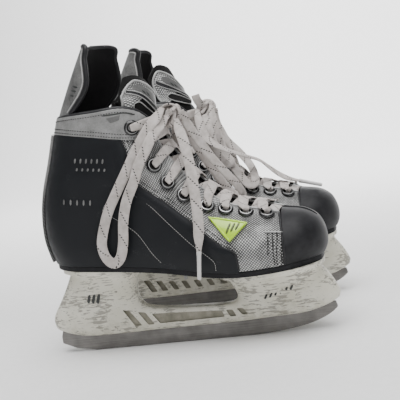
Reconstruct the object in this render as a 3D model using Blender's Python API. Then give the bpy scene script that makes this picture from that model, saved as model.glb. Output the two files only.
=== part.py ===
"""A pair of junior ice hockey skates, standing on their blades.

Lengths below are millimetres in one skate's own frame: x forward from under the ankle, v sideways
from the skate's middle plane (positive on the outer side of the foot), z up from the blade's flat.
Every solid is written in metres, with the pair's middle at x = 0, y = 0 and the blades on z = 0.
"""
from math import cos, hypot, pi, sin, sqrt

import bmesh
import bpy
from mathutils import Vector

for old in list(bpy.data.objects):
    bpy.data.objects.remove(old, do_unlink=True)

MM = 0.001
X_MID = 13.0            # middle of the blade holder's length
Y_SKATE = 60.0          # half the distance between the two skates
GAP = 0.3               # clearance between pieces that lie on each other
LAP = 0.7               # clearance under a panel, which bridges the hollows of the wall below it
STRIP_LIFT = 1.3        # the same under an eyelet strip
REAR_LIFT = 1.45        # the same under the rear panel

SHELL = 3.2             # thickness of the boot's wall
PANEL = 1.0             # thickness of a sewn-on panel
CAP = 3.0               # thickness of the toe cap
LINER = 4.0             # thickness of the padded lining
SOLE = 4.0              # thickness of the outsole
RUNNER_HALF = 1.5       # half the thickness of the steel runner
LACE_W = 8.0            # width of the flat lace
LACE_T = 1.3            # thickness of the flat lace
EYELET_R = 5.4          # outer radius of an eyelet
HOLE_R = 3.1            # radius of an eyelet's hole
EYELET_SIDES = 6

SOLE_LINE = [(-92, 73.5), (-76, 72), (-41, 68.2), (-3, 63.2), (16, 59.9), (35, 56.4), (51, 54.3),
             (69, 53.7), (95, 54.6), (112, 55.2), (124, 56)]
BACK_LINE = [(-90, 74), (-92.3, 84), (-94.4, 99.4), (-92.8, 118), (-88.3, 136.1), (-81, 155.6),
             (-73, 178.8), (-67.7, 192.7), (-59, 209), (-50.6, 223.6), (-38.3, 243.7), (-33, 252)]
CREST_LINE = [(121.5, 57), (125.8, 62.5), (127.8, 69.5), (126.9, 79), (122.5, 88.2), (113, 94.6),
              (98, 98), (86, 101.6), (76, 104.2), (63, 108.2), (52, 114.6), (38, 127.6), (26, 142.5),
              (18.8, 154), (14.8, 164), (12.6, 175), (11.6, 187), (9.5, 198), (6, 210), (0, 225)]
BLACK_EDGE = [(64, 59), (64.3, 70.6), (61.9, 74.6), (54.7, 78.5), (42.2, 89.4), (34.3, 97.3),
              (16.2, 114.5), (-1.6, 129.9), (-10.4, 142.4), (-9, 156), (-12.2, 168)]
BAND_LOW = [(-72.6, 179.6), (-59.4, 178.4), (-35, 173.4), (-12.6, 168.6)]
BAND_HIGH = [(-68.3, 190.6), (-49, 190.8), (-28, 190.6), (-12.8, 190.7)]
COLLAR_TOP = [(-68, 191.3), (-49, 191.4), (-28, 191.2), (-10, 191.2), (1.5, 187.4), (8.2, 179.5)]
EYELETS = [(-3, 175.5), (0.7, 160.4), (9.4, 144.8), (17.8, 130.7), (28.7, 119), (44.6, 108.5),
           (57.8, 103.6), (72.8, 99.6), (87.9, 96.3)]
GUARD_FRONT = [(-50, 192.6), (-37, 204.5), (-31.2, 214), (-30.6, 225), (-31.2, 233), (-29.5, 239.5)]
GUARD_TOP = [(-38.6, 243.2), (-35, 243.3), (-31.5, 242.4), (-29.5, 239.5)]
GUARD_MEDIAL_SHIFT = 6.0
BADGE = [(45.5, 100.6), (74.5, 92.4), (60.9, 81.5)]

RUNNER_FLAT = 52.0      # half the length of the runner's straight middle
RUNNER_LOW = [(-101.4, 14), (-101.4, 8.5), (-89.5, 3.3), (-73, 0.6), (-RUNNER_FLAT, 0), (RUNNER_FLAT, 0),
              (70.6, 0.6), (90, 2.4), (107, 5.6), (121, 11), (128, 16)]
RUNNER_HIGH = [(127, 20.5), (112, 19.5), (85, 19.5), (50, 19.5), (0, 19.5), (-50, 19.5), (-80, 19.5),
               (-99, 21)]
# stations of the blade holder: outer point, inner point, half thickness, squareness of the section
HOLDER = [((-82, 72), (-18, 65), 26.5, 2.6, -4.0), ((-82, 72), (-18, 65), 26.5, 2.6, 3.4),
          ((-82.5, 66.5), (-25, 61), 16.5, 2.8, None), ((-87, 58), (-28, 56), 13.5, 3, None),
          ((-94.5, 46), (-29.5, 46), 11, 3, None), ((-103.8, 32.5), (-28.5, 40.5), 9.2, 3, None),
          ((-104.6, 25), (-27, 37.6), 8.4, 3, None),
          ((-100.5, 19.5), (-25.5, 35.6), 7.6, 3.4, None), ((-80, 13.4), (-22, 33.2), 6.8, 4, None),
          ((-47.5, 12.6), (-14, 31.2), 6.2, 5, None), ((-18, 12.8), (0, 29.7), 6, 5, None),
          ((20, 12.8), (20, 28.6), 6, 5, None), ((50, 12.8), (40, 27.9), 6.2, 5, None),
          ((80, 13.8), (49, 29.4), 7, 4, None), ((108, 15.4), (52, 33), 8.5, 3.4, None),
          ((130.5, 24), (51, 38), 10, 3, None), ((128.5, 36.5), (48, 44.5), 12, 2.8, None),
          ((121.5, 47.5), (46, 49.6), 17, 2.6, None), ((120.5, 56), (42, 54), 33, 2.5, 3.2),
          ((120.5, 56), (42, 54), 33, 2.5, -4.0)]
# slanted pockets in the outer face of the holder's bridge, then those in its inner face
POCKETS_OUT = [[(-42.8, 32.4), (-37.1, 31), (-28.7, 18), (-34.6, 18)],
               [(-30.6, 29.3), (-24.4, 28.3), (-18.1, 18), (-23.4, 18)],
               [(-19.3, 26.7), (38.3, 23.6), (40, 18.2), (-13.6, 18.2)],
               [(41.5, 23.6), (46.9, 23.4), (49.4, 18), (44.3, 18)],
               [(50.4, 24), (55.4, 24), (58.8, 18.6), (54.1, 18.6)]]
POCKETS_IN = [[(-62, 31), (-56, 31), (-50, 19), (-56, 19)],
              [(-50, 29), (-44.5, 29), (-39.5, 19), (-45, 19)],
              [(-38, 27.5), (-33, 27.5), (-28.6, 19), (-33.6, 19)],
              [(-26, 26.5), (-21, 26.5), (-17.4, 19), (-22.4, 19)],
              [(-14, 26), (-9, 26), (-5.8, 19.2), (-10.8, 19.2)],
              [(-2, 25.5), (3, 25.5), (6, 19.4), (1, 19.4)],
              [(10, 25), (15, 25), (17.8, 19.6), (12.8, 19.6)],
              [(22, 24.8), (27, 24.8), (29.6, 19.8), (24.6, 19.8)],
              [(34, 24.6), (39, 24.6), (41.4, 20), (36.4, 20)]]
POCKET_DEPTH = 1.6

# the free laces of each skate: points (x, v, z) along the middle of the flat lace
LOOP_A = {"right": [(21.5, 13.6, 179.5), (19, 21, 175), (15, 29.5, 169.5), (8, 36.3, 158),
                    (1, 38.8, 147), (-4, 39.6, 136), (-12.5, 39.4, 122), (-18, 38.8, 107),
                    (-21.2, 38.2, 91), (-25.4, 37.5, 80), (-31.5, 37, 75.8), (-37, 36.8, 80.5),
                    (-39, 36.8, 90), (-36, 36.9, 101), (-29, 37.2, 116), (-19.5, 37.4, 130),
                    (-9, 36.6, 145), (0, 34.6, 158.5), (10.5, 30, 172.8), (16.8, 21.5, 181),
                    (19.4, 13.8, 186.5)],
          "left": [(30, 5.5, 180), (30, 3.5, 166), (36, 1, 151), (46.5, -1, 138), (55, -6.5, 127),
                   (60, -16, 119), (62, -27, 111), (57, -31, 109.8), (50.8, -27.6, 117.2),
                   (42, -19, 129), (35, -11, 143), (31, -5.5, 157), (28.6, -2, 167.6),
                   (27.8, 0.5, 173.4)]}
LOOP_B = {"right": [(29.8, -3, 182.2), (31.5, -8, 172), (37.5, -13, 157), (45, -17, 141),
                    (53, -21, 128), (59.5, -26, 117), (61.5, -32, 109), (57, -35.5, 106.5),
                    (50, -35, 113), (43.5, -31.5, 126), (37, -27, 141), (31.5, -20.5, 156),
                    (28, -13, 168), (27.4, -8, 173.6)],
          "left": [(29.2, -6, 182.8), (30.5, -14, 172), (32, -18.5, 159), (34.5, -17.5, 147),
                   (38.5, -18.5, 136), (42.2, -22.6, 130.6), (37.8, -27, 131), (33, -26.5, 139),
                   (30, -26.5, 151), (27.5, -24.5, 163), (25.2, -18.4, 171.4), (23, -13.2, 175.5)]}
END_A = {"right": [(27.4, 8.5, 176.5), (30, 14, 169.5), (34.5, 22.5, 157), (38, 30, 141),
                   (39.7, 35.5, 126), (40.6, 39.8, 112), (40.6, 42.4, 100), (39.6, 43.8, 90),
                   (37.8, 44.8, 76.5)],
         "left": [(19.5, 13.8, 179), (22.5, 23, 171), (26, 33, 158), (29.5, 39, 142),
                  (32.5, 42.2, 125), (34.5, 43.8, 108), (35.5, 44.8, 92), (35.2, 45.2, 79)]}
END_B = {"right": [(19, -11.8, 178), (18.5, -21, 173), (14.5, -31.5, 163), (9, -38.5, 149),
                   (5, -41.5, 131), (3, -42.5, 111), (1.5, -43, 92), (0.5, -43.5, 75),
                   (0, -43.5, 60.5)],
         "left": [(17.4, -12.6, 180.5), (20, -24, 172.5), (25.5, -32.5, 157), (35, -36, 148),
                  (45, -33.5, 141.5), (56, -25, 135), (66, -14, 128.5), (73, -8, 120.5),
                  (80, -5, 113.3), (88, -4, 107.8), (99, -4, 103.8)]}
AGLET_LENGTH = 19.0
KNOT = {"right": (20.5, 1.0, 181.5), "left": (20.5, 1.0, 181.5)}
# profile of the tongue above its fold, and the height of its slanting top edge across it
TONGUE_TOP = {"right": [(12, 190.6), (12.2, 197), (10.6, 204), (7.6, 211), (3.6, 217), (-1.5, 223)],
              "left": [(10.6, 190.6), (5.6, 201), (0.6, 213), (-3.5, 223.5), (-7.5, 235)]}
TONGUE_EDGE = {"right": ([-26.5, -20, -12, -4, 4, 10, 15, 20, 24, 26.5],
                         [5, 10, 15, 20, 26.5, 31, 33.5, 29, 18, 8]),
               "left": ([-26.5, -24, -21, -14, -10, -1, 4, 12, 20, 26.5],
                        [8, 20, 35, 42, 41, 36, 30, 24, 17, 8])}


class Line:
    """A smooth open curve through points in the x, z plane."""

    def __init__(self, points, steps=6):
        self.points = []
        pts = [points[0]] + list(points) + [points[-1]]
        for k in range(1, len(pts) - 2):
            for j in range(steps):
                self.points.append(catmull(pts[k - 1], pts[k], pts[k + 1], pts[k + 2], j / steps))
        self.points.append(tuple(float(c) for c in points[-1]))
        self.lengths = [0.0]
        for a, b in zip(self.points, self.points[1:]):
            self.lengths.append(self.lengths[-1] + hypot(b[0] - a[0], b[1] - a[1]))

    def at(self, t):
        """The point at a share t of the length, and the direction there."""
        s = min(max(t, 0.0), 1.0) * self.lengths[-1]
        for k in range(len(self.points) - 1):
            if s <= self.lengths[k + 1] or k == len(self.points) - 2:
                a, b = self.points[k], self.points[k + 1]
                span = self.lengths[k + 1] - self.lengths[k]
                f = (s - self.lengths[k]) / span
                dx, dz = b[0] - a[0], b[1] - a[1]
                return (a[0] + dx * f, a[1] + dz * f), (dx / span, dz / span)

    def point(self, t):
        return self.at(t)[0]

    def nearest(self, x, z):
        """Signed distance (positive on the left of the direction of travel) and share of the length."""
        best = None
        for k in range(len(self.points) - 1):
            (ax, az), (bx, bz) = self.points[k], self.points[k + 1]
            dx, dz = bx - ax, bz - az
            span = dx * dx + dz * dz
            f = min(max(((x - ax) * dx + (z - az) * dz) / span, 0.0), 1.0)
            px, pz = x - ax - dx * f, z - az - dz * f
            d = px * px + pz * pz
            if best is None or d < best[0]:
                side = 1.0 if dx * pz - dz * px >= 0 else -1.0
                best = (d, side, self.lengths[k] + f * (self.lengths[k + 1] - self.lengths[k]))
        return best[1] * sqrt(best[0]), best[2] / self.lengths[-1]

    def part(self, t0, t1):
        return lambda t: self.point(t0 + (t1 - t0) * t)

    def share_at_z(self, z):
        """Share of the length at a height, for a line that only climbs."""
        for k in range(len(self.points) - 1):
            a, b = self.points[k][1], self.points[k + 1][1]
            if a <= z <= b:
                length = self.lengths[k] + (z - a) / (b - a) * (self.lengths[k + 1] - self.lengths[k])
                return length / self.lengths[-1]
        return 1.0


def catmull(p0, p1, p2, p3, t):
    return tuple(0.5 * (2 * b + (c - a) * t + (2 * a - 5 * b + 4 * c - d) * t * t
                        + (3 * b - a - 3 * c + d) * t ** 3)
                 for a, b, c, d in zip(p0, p1, p2, p3))


def ramp(x, xs, ys):
    """Straight lines between the given values."""
    if x <= xs[0]:
        return ys[0]
    for a, b, p, q in zip(xs, xs[1:], ys, ys[1:]):
        if x <= b:
            return p + (q - p) * (x - a) / (b - a)
    return ys[-1]


def smooth(t):
    t = min(max(t, 0.0), 1.0)
    return t * t * (3 - 2 * t)


BACK = Line(BACK_LINE)
CREST = Line(CREST_LINE)
UNDER = Line(SOLE_LINE)


def sole_z(x):
    """Height of the outsole's underside."""
    return ramp(x, [p[0] for p in UNDER.points], [p[1] for p in UNDER.points])


def upper_z(x):
    """Height of the boot's lower edge."""
    return sole_z(x) + SOLE + GAP


def half_width(x, z):
    """Half the boot's width at a point of its side view."""
    back = max(-BACK.nearest(x, z)[0], 0.0)
    crest = max(CREST.nearest(x, z)[0], 0.0)
    foot = ramp(x, [-95, -60, -25, 10, 45, 70, 95, 128], [30.5, 31, 31, 33, 38.5, 41.5, 41.5, 38.5])
    leg = ramp(z, [120, 145, 165, 190, 245], [32.5, 33.5, 31.5, 32.8, 32])
    w = foot + (leg - foot) * smooth((z - 85) / 45)
    w *= 1 - 0.11 * (1 - min(max((z - upper_z(x)) / 17, 0.0), 1.0)) ** 2
    tb = min(back / ramp(z, [190, 240], [30, 22]), 1.0)
    tc = min(crest / ramp(x, [60, 100], [36, 42]), 1.0)
    return w * sqrt(1 - (1 - tb) ** 2) * (1 - (1 - tc) ** 2) ** 0.42


def skin(x, z, side, off=0.0):
    """The point of the boot's outer surface at x, z, moved out along the surface by off."""
    w = half_width(x, z)
    e = 0.15
    gx = (half_width(x + e, z) - half_width(x - e, z)) / (2 * e)
    gz = (half_width(x, z + e) - half_width(x, z - e)) / (2 * e)
    v = 0.0 if w < 0.3 else 1.0
    n = Vector((-gx, v, -gz)).normalized()
    return (x + n.x * off, side * (w * v + n.y * off), z + n.z * off)


def skin_normal(x, z, side):
    a, b = skin(x, z, side), skin(x, z, side, 1.0)
    return Vector((b[0] - a[0], b[1] - a[1], b[2] - a[2])).normalized()


def crest_frame(t):
    """Crest point, direction up the crest and direction into the boot, in the x, z plane."""
    (cx, cz), (tx, tz) = CREST.at(t)
    return (cx, cz), (tx, tz), (-tz, tx)


def crest_point(t, v, depth):
    (cx, cz), _, (nx, nz) = crest_frame(t)
    return (cx + nx * depth, v, cz + nz * depth)


def depth_of(t, v):
    """How far below the crest the boot's surface is |v| wide."""
    (cx, cz), _, (nx, nz) = crest_frame(t)
    low, high = 0.0, 36.0
    for _ in range(24):
        mid = (low + high) / 2
        if half_width(cx + nx * mid, cz + nz * mid) < abs(v):
            low = mid
        else:
            high = mid
    return high


def on_crest(t, v, off):
    (cx, cz), _, (nx, nz) = crest_frame(t)
    d = depth_of(t, v)
    return skin(cx + nx * d, cz + nz * d, 1 if v > 0 else -1, off)


def patch(low, high, left, right, nu, nv, fu, fv):
    """A grid of x, z points filling the four boundary curves; rows run from low to high."""
    rows = []
    p00, p10, p01, p11 = low(0), low(1), high(0), high(1)
    for j in range(nv + 1):
        v = fv(j / nv)
        row = []
        for i in range(nu + 1):
            u = fu(i / nu)
            lo, hi, le, ri = low(u), high(u), left(v), right(v)
            row.append(tuple((1 - v) * lo[c] + v * hi[c] + (1 - u) * le[c] + u * ri[c]
                             - (1 - u) * (1 - v) * p00[c] - u * (1 - v) * p10[c]
                             - (1 - u) * v * p01[c] - u * v * p11[c] for c in (0, 1)))
        rows.append(row)
    return rows


def wrap(outer_half, inner_half=None, medial_shift=None):
    """Rows of (x, z, side) from the outer side round the shared edge (column 0) to the inner side."""
    rows = []
    for k, row in enumerate(outer_half):
        other = (inner_half or outer_half)[k]
        lateral = [(x, z, 1) for x, z in reversed(row[1:])]
        medial = [(x, z, -1) for x, z in other]
        rows.append(lateral + medial)
    return rows


def ease_in(t):
    return 1 - cos(pi / 2 * t)


def ease_out(t):
    return sin(pi / 2 * t)


def even(t):
    return t


def steps(*values):
    """Uneven spacing: the share at each grid line."""
    return lambda t: values[round(t * (len(values) - 1))]


def slab(outer, inner, open_last_row=False):
    """Closed body between two matching grids of points."""
    rows, cols = len(outer), len(outer[0])
    verts = [p for row in outer for p in row] + [p for row in inner for p in row]
    n = rows * cols
    faces = []
    for i in range(rows - 1):
        for j in range(cols - 1):
            a = i * cols + j
            faces.append((a, a + 1, a + cols + 1, a + cols))
            faces.append((n + a, n + a + cols, n + a + cols + 1, n + a + 1))
    for j in range(cols - 1):
        faces.append((j, n + j, n + j + 1, j + 1))
        k = (rows - 1) * cols + j
        if not open_last_row:
            faces.append((k, k + 1, n + k + 1, n + k))
    for i in range(rows - 1):
        a = i * cols
        faces.append((a, a + cols, n + a + cols, n + a))
        b = a + cols - 1
        faces.append((b, n + b, n + b + cols, b + cols))
    return verts, faces


def skin_slab(grid, top, bottom, open_last_row=False):
    """Body that follows the boot's surface between two heights above it."""
    outer = [[skin(x, z, s, top) for x, z, s in row] for row in grid]
    inner = [[skin(x, z, s, bottom) for x, z, s in row] for row in grid]
    return slab(outer, inner, open_last_row)


def tube(rings):
    """Closed body through rings of points, closed by a face at each end."""
    n = len(rings[0])
    verts = [p for ring in rings for p in ring]
    faces = [tuple(range(n - 1, -1, -1)), tuple(range(len(verts) - n, len(verts)))]
    for k in range(len(rings) - 1):
        for i in range(n):
            j = (i + 1) % n
            faces.append((k * n + i, k * n + j, (k + 1) * n + j, (k + 1) * n + i))
    return verts, faces


def prism(outline, v0, v1):
    """A flat outline in x, z made solid between two sideways positions."""
    return tube([[(x, v0, z) for x, z in outline], [(x, v1, z) for x, z in outline]])


MATERIALS = {}


def material(name, colour, rough, metal=0.0):
    mat = bpy.data.materials.new(name)
    mat.use_nodes = True
    shader = mat.node_tree.nodes["Principled BSDF"]
    shader.inputs["Base Color"].default_value = (*colour, 1.0)
    shader.inputs["Roughness"].default_value = rough
    shader.inputs["Metallic"].default_value = metal
    MATERIALS[name] = mat


material("outsole_black", (0.02, 0.02, 0.022), 0.6)
material("insole_board", (0.35, 0.3, 0.22), 0.8)
material("silver_mesh", (0.42, 0.42, 0.41), 0.6)
material("black_leather", (0.025, 0.025, 0.03), 0.45)
material("backstay_grey", (0.3, 0.3, 0.3), 0.5)
material("toe_cap_black", (0.03, 0.03, 0.035), 0.5)
material("collar_silver", (0.38, 0.38, 0.37), 0.5)
material("guard_silver", (0.36, 0.36, 0.35), 0.5)
material("tongue_felt", (0.02, 0.02, 0.02), 0.9)
material("tongue_face", (0.3, 0.3, 0.3), 0.6)
material("lining_black", (0.02, 0.02, 0.02), 0.95)
material("eyelet_metal", (0.05, 0.05, 0.055), 0.25, 0.9)
material("badge_lime", (0.6, 0.85, 0.05), 0.35)
material("holder_white", (0.6, 0.59, 0.54), 0.5)
material("runner_steel", (0.35, 0.34, 0.32), 0.35, 1.0)
material("lace_fabric", (0.6, 0.56, 0.54), 0.85)
material("aglet_plastic", (0.75, 0.74, 0.72), 0.3)


def solid(name, side, shape, mat):
    """Add one closed solid for the skate on the given side of the pair."""
    verts, faces = shape
    bm = bmesh.new()
    made = [bm.verts.new(((x - X_MID) * MM, side * (Y_SKATE + v) * MM, z * MM)) for x, v, z in verts]
    for face in faces:
        bm.faces.new([made[i] for i in face])
    bmesh.ops.remove_doubles(bm, verts=bm.verts, dist=1e-6)
    bmesh.ops.dissolve_degenerate(bm, edges=bm.edges, dist=1e-6)
    bmesh.ops.recalc_face_normals(bm, faces=bm.faces)
    mesh = bpy.data.meshes.new(name)
    bm.to_mesh(mesh)
    bm.free()
    obj = bpy.data.objects.new(name, mesh)
    bpy.context.scene.collection.objects.link(obj)
    obj.data.materials.append(MATERIALS[mat])
    return obj


def cutter(name, side, shapes):
    """Join simple solids into one hidden tool."""
    verts, faces = [], []
    for sv, sf in shapes:
        faces += [tuple(i + len(verts) for i in f) for f in sf]
        verts += sv
    obj = solid(name, side, (verts, faces), "outsole_black")
    obj.hide_render = True
    obj.display_type = "WIRE"
    return obj


def boolean(obj, tool, operation):
    mod = obj.modifiers.new(operation.lower(), "BOOLEAN")
    mod.operation = operation
    mod.solver = "EXACT"
    mod.object = tool


def disc(centre, normal, radius, low, high, sides):
    """A short cylinder on the boot's surface."""
    n = Vector(normal)
    a = n.orthogonal().normalized()
    b = n.cross(a)
    c = Vector(centre)
    rings = []
    for h in (low, high):
        turns = [2 * pi * k / sides for k in range(sides)]
        rings.append([tuple(c + n * h + a * radius * cos(t) + b * radius * sin(t)) for t in turns])
    return tube(rings)


def washer(base, normal, side):
    """An eyelet's rim, lying on the curved facing strip."""
    n = Vector(normal)
    a = n.orthogonal().normalized()
    b = n.cross(a)
    low_in, low_out, high_out, high_in = [], [], [], []
    for k in range(EYELET_SIDES):
        turn = 2 * pi * k / EYELET_SIDES
        for radius, low, high in ((HOLE_R - 0.5, low_in, high_in), (EYELET_R, low_out, high_out)):
            p = Vector(base) + a * radius * cos(turn) + b * radius * sin(turn)
            foot = Vector(skin(p.x, p.z, side, STRIP_LIFT + 0.45))
            low.append(tuple(foot))
            high.append(tuple(foot + n * (PANEL + 0.2)))
    verts = low_in + low_out + high_out + high_in
    m = EYELET_SIDES
    faces = []
    for ring in range(4):
        for k in range(m):
            j = (k + 1) % m
            faces.append((ring * m + k, ring * m + j, (ring + 1) % 4 * m + j, (ring + 1) % 4 * m + k))
    return verts, faces


def ribbon(points, widths, thick, across):
    """A flat lace through points; across gives the direction of its width at each point."""
    rings = []
    pts = [Vector(p) for p in points]
    for k, p in enumerate(pts):
        ahead = (pts[min(k + 1, len(pts) - 1)] - pts[max(k - 1, 0)]).normalized()
        side = Vector(across[k])
        side = (side - ahead * side.dot(ahead)).normalized()
        up = ahead.cross(side)
        w, t = side * (widths[k] / 2), up * (thick[k] / 2)
        rings.append([tuple(p + w + t), tuple(p - w + t), tuple(p - w - t), tuple(p + w - t)])
    return tube(rings)


def resample(points, steps):
    """More points along a smooth curve through tuples of any length."""
    pts = [points[0]] + list(points) + [points[-1]]
    out = []
    for k in range(1, len(pts) - 2):
        for j in range(steps):
            out.append(catmull(pts[k - 1], pts[k], pts[k + 1], pts[k + 2], j / steps))
    out.append(tuple(float(c) for c in points[-1]))
    return out


def throat(t):
    """Edge of the lacing gap, from the collar's front corner down to the toe seam."""
    top = CREST.nearest(12.6, 172.5)[1]
    low = CREST.nearest(97.5, 98.2)[1]
    share = top + (low - top) * t
    x, _, z = crest_point(share, 0, 3.0 - 0.6 * smooth(t))
    return (x, z)


def quarter_top(t):
    """Upper edge of the boot: collar, front corner, then the edge of the lacing gap."""
    split = 0.42
    if t <= split:
        return COLLAR.point(t / split)
    return throat((t - split) / (1 - split))


COLLAR = Line(COLLAR_TOP + [throat(0)])
SEAM_LOW = (97.5, upper_z(97.5))
SEAM_HIGH = throat(1)


def seam(t):
    """The joint between the boot's side and its toe cap, from the sole up."""
    x = SEAM_LOW[0] + (SEAM_HIGH[0] - SEAM_LOW[0]) * t + 2.0 * sin(pi * t)
    return (x, SEAM_LOW[1] + (SEAM_HIGH[1] - SEAM_LOW[1]) * t)


def sole_edge(x0, x1):
    return lambda t: (x0 + (x1 - x0) * t, upper_z(x0 + (x1 - x0) * t))


def back_from(z0, z1):
    return BACK.part(BACK.share_at_z(z0), BACK.share_at_z(z1))


def quarter_grid():
    start = back_from(78, 191.3)(0)
    low = sole_edge(start[0], 97.5)
    return patch(low, quarter_top, back_from(78, 191.3), seam, 13, 8,
                 lambda t: 0.12 * t + 0.88 * ease_in(t),
                 steps(0, 0.07, 0.16, 0.36, 0.56, 0.74, 0.88, 0.96, 1))


def rear_panel_grid():
    start = back_from(78.6, 179)(0)
    low = sole_edge(start[0], 64)
    lift = lambda t: (low(t)[0], low(t)[1] + 0.6)
    edge = Line(BLACK_EDGE)
    right = lambda t: edge.point(t) if t > 0 else lift(1)
    band = Line(BAND_LOW)
    high = lambda t: (band.point(t)[0], band.point(t)[1] - 0.5)
    return patch(lift, high, back_from(78.6, 179.1), right, 9, 6, lambda t: 0.1 * t + 0.9 * ease_in(t),
                 steps(0, 0.08, 0.17, 0.4, 0.62, 0.82, 1))


def toe_cap_shape():
    t_seam = CREST.nearest(98.2, 98)[1]
    t_corner = CREST.nearest(122.5, 88.2)[1]
    t_front = CREST.share_at_z(upper_z(122))
    top_of_seam = CREST.point(t_seam)
    cut = lambda t: (seam(t)[0] + 0.4 + 0.5 * t, seam(t)[1] + (top_of_seam[1] - SEAM_HIGH[1]) * t ** 3)
    left = lambda t: cut(t) if t < 1 else top_of_seam
    low = sole_edge(97.9, CREST.point(t_front)[0])
    high = CREST.part(t_seam, t_corner)
    right = CREST.part(t_front, t_corner)
    grid = patch(low, high, left, right, 6, 6, ease_out, ease_out)
    rows = []
    for row in grid:
        lateral = [(x, z, 1) for x, z in row]
        medial = [(x, z, -1) for x, z in reversed(row[:-1])]
        rows.append(lateral + medial)
    return skin_slab(rows, 0.0, -CAP, open_last_row=True)


def eyelet_strip(side_of_foot):
    """A row of eyelets on its facing strip, and the tool for its holes."""
    shares = []
    spots = [CREST.nearest(x, z)[1] for x, z in EYELETS]
    start, end = spots[0] + 0.022, spots[-1] - 0.021
    count = 12
    outer, inner = [], []
    for k in range(count):
        share = start + (end - start) * k / (count - 1)
        reach = ramp(share, [spots[8], spots[6], spots[5], spots[4]], [12.5, 12.5, 17, 21])
        row_out, row_in = [], []
        for q in (0.0, 0.38, 0.68, 1.0):
            d = 3.6 + (reach - 3.6) * q * q
            x, _, z = crest_point(share, 0, d)
            row_out.append(skin(x, z, side_of_foot, STRIP_LIFT + PANEL))
            row_in.append(skin(x, z, side_of_foot, STRIP_LIFT))
        outer.append(row_out)
        inner.append(row_in)
    strip = slab(outer, inner)
    rings, holes = [], []
    for x, z in EYELETS:
        n = skin_normal(x, z, side_of_foot)
        base = skin(x, z, side_of_foot)
        rings.append(washer(base, n, side_of_foot))
        holes.append(disc(base, n, HOLE_R, -9.0, 9.0, EYELET_SIDES))
    return strip, rings, holes


def tongue_section(share, half, depth0, curve, thick, extra):
    """Front and back rows of points across the tongue at one place."""
    return tongue_rows(lambda v, d: crest_point(share, v, d), half, depth0, curve, thick, extra)


def tongue_rows(locate, half, depth0, curve, thick, extra):
    front, back = [], []
    for k in range(-4, 5):
        v = half * k / 4
        over = max(abs(v) - 14, 0.0)
        d = depth0 + curve * v * v + extra * over * over
        slope = (2 * curve * abs(v) + 2 * extra * over) * (1 if v > 0 else -1)
        size = sqrt(1 + slope * slope)
        front.append(locate(v, d))
        back.append(locate(v - slope / size * thick, d + thick / size))
    return front, back


def tongue_lower_shape():
    outer, inner = [], []
    low, high = CREST.nearest(91, 101)[1], CREST.nearest(11.5, 189.2)[1]
    count = 11
    for k in range(count):
        t = k / (count - 1)
        share = low + (high - low) * t
        fold = 0.045 * (1 - smooth(t * 2.6 - 1.6))
        half = 19.5 + 5 * smooth(t * 1.3 - 0.2)
        front, back = tongue_section(share, half, 2.7, 0.036, 4.2 + 1.6 * t, fold)
        outer.append(front)
        inner.append(back)
    return slab(outer, inner)


def tongue_upper_shape(name):
    top = Line(TONGUE_TOP[name])
    heights = TONGUE_EDGE[name]
    outer, inner = [], []
    for share in (0.0, 0.25, 0.5, 0.75, 1.0):
        front, back = [], []
        for k in range(-4, 5):
            v = 26.5 * k / 4
            height = share * ramp(v, *heights)
            (cx, cz), (tx, tz) = top.at(height / top.lengths[-1])
            tx *= smooth(height / 20)
            tz = sqrt(1 - tx * tx)
            bend = 0.07 * v
            size = sqrt(1 + bend * bend)
            d = 2.3 + 0.035 * v * v
            e = d + 6.0 / size
            front.append((cx - tz * d, v, cz + tx * d))
            back.append((cx - tz * e, v - bend / size * 6.0, cz + tx * e))
        if share == 0.0:
            front = [(x, v, 190.2) for x, v, z in front]
            back = [(x, v, 190.2) for x, v, z in back]
        outer.append(front)
        inner.append(back)
    return slab(outer, inner)


def guard_shape():
    left = back_from(192.4, 243.2)
    edge = Line(GUARD_FRONT)
    crown = Line(GUARD_TOP)
    base = lambda t: (left(0)[0] + (edge.point(0)[0] - left(0)[0]) * t, 192.4 + 0.2 * t)
    near = patch(base, crown.point, left, edge.point, 6, 7, ease_in, even)
    far_edge = lambda t: (edge.point(t)[0] + GUARD_MEDIAL_SHIFT, edge.point(t)[1])
    far_base = lambda t: (left(0)[0] + (far_edge(0)[0] - left(0)[0]) * t, 192.4 + 0.2 * t)
    far_crown = lambda t: (crown.point(t)[0] + GUARD_MEDIAL_SHIFT * t, crown.point(t)[1])
    far = patch(far_base, far_crown, left, far_edge, 6, 7, ease_in, even)
    return skin_slab(wrap(near, far), 0.0, -3.3)


def band_shape():
    low, high = Line(BAND_LOW), Line(BAND_HIGH)
    left = lambda t: back_from(179.6, 190.6)(t)
    right = lambda t: (low.point(1)[0] + (high.point(1)[0] - low.point(1)[0]) * t,
                       low.point(1)[1] + (high.point(1)[1] - low.point(1)[1]) * t)
    lo = lambda t: left(0) if t == 0 else low.point(t)
    hi = lambda t: left(1) if t == 0 else high.point(t)
    return skin_slab(wrap(patch(lo, hi, left, right, 8, 3, ease_in, even)), LAP + 1.2, LAP)


def backstay_shape():
    rows = []
    t0, t1 = BACK.share_at_z(80.5), BACK.share_at_z(178.2)
    for k in range(12):
        (bx, bz), (tx, tz) = BACK.at(t0 + (t1 - t0) * k / 11)
        row = []
        for d, s in ((2.6, 1), (1.0, 1), (0.0, 1), (1.0, -1), (2.6, -1)):
            row.append((bx + tz * d, bz - tx * d, s))
        rows.append(row)
    base = REAR_LIFT + PANEL + LAP
    return skin_slab(rows, base + 1.1, base)


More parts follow.
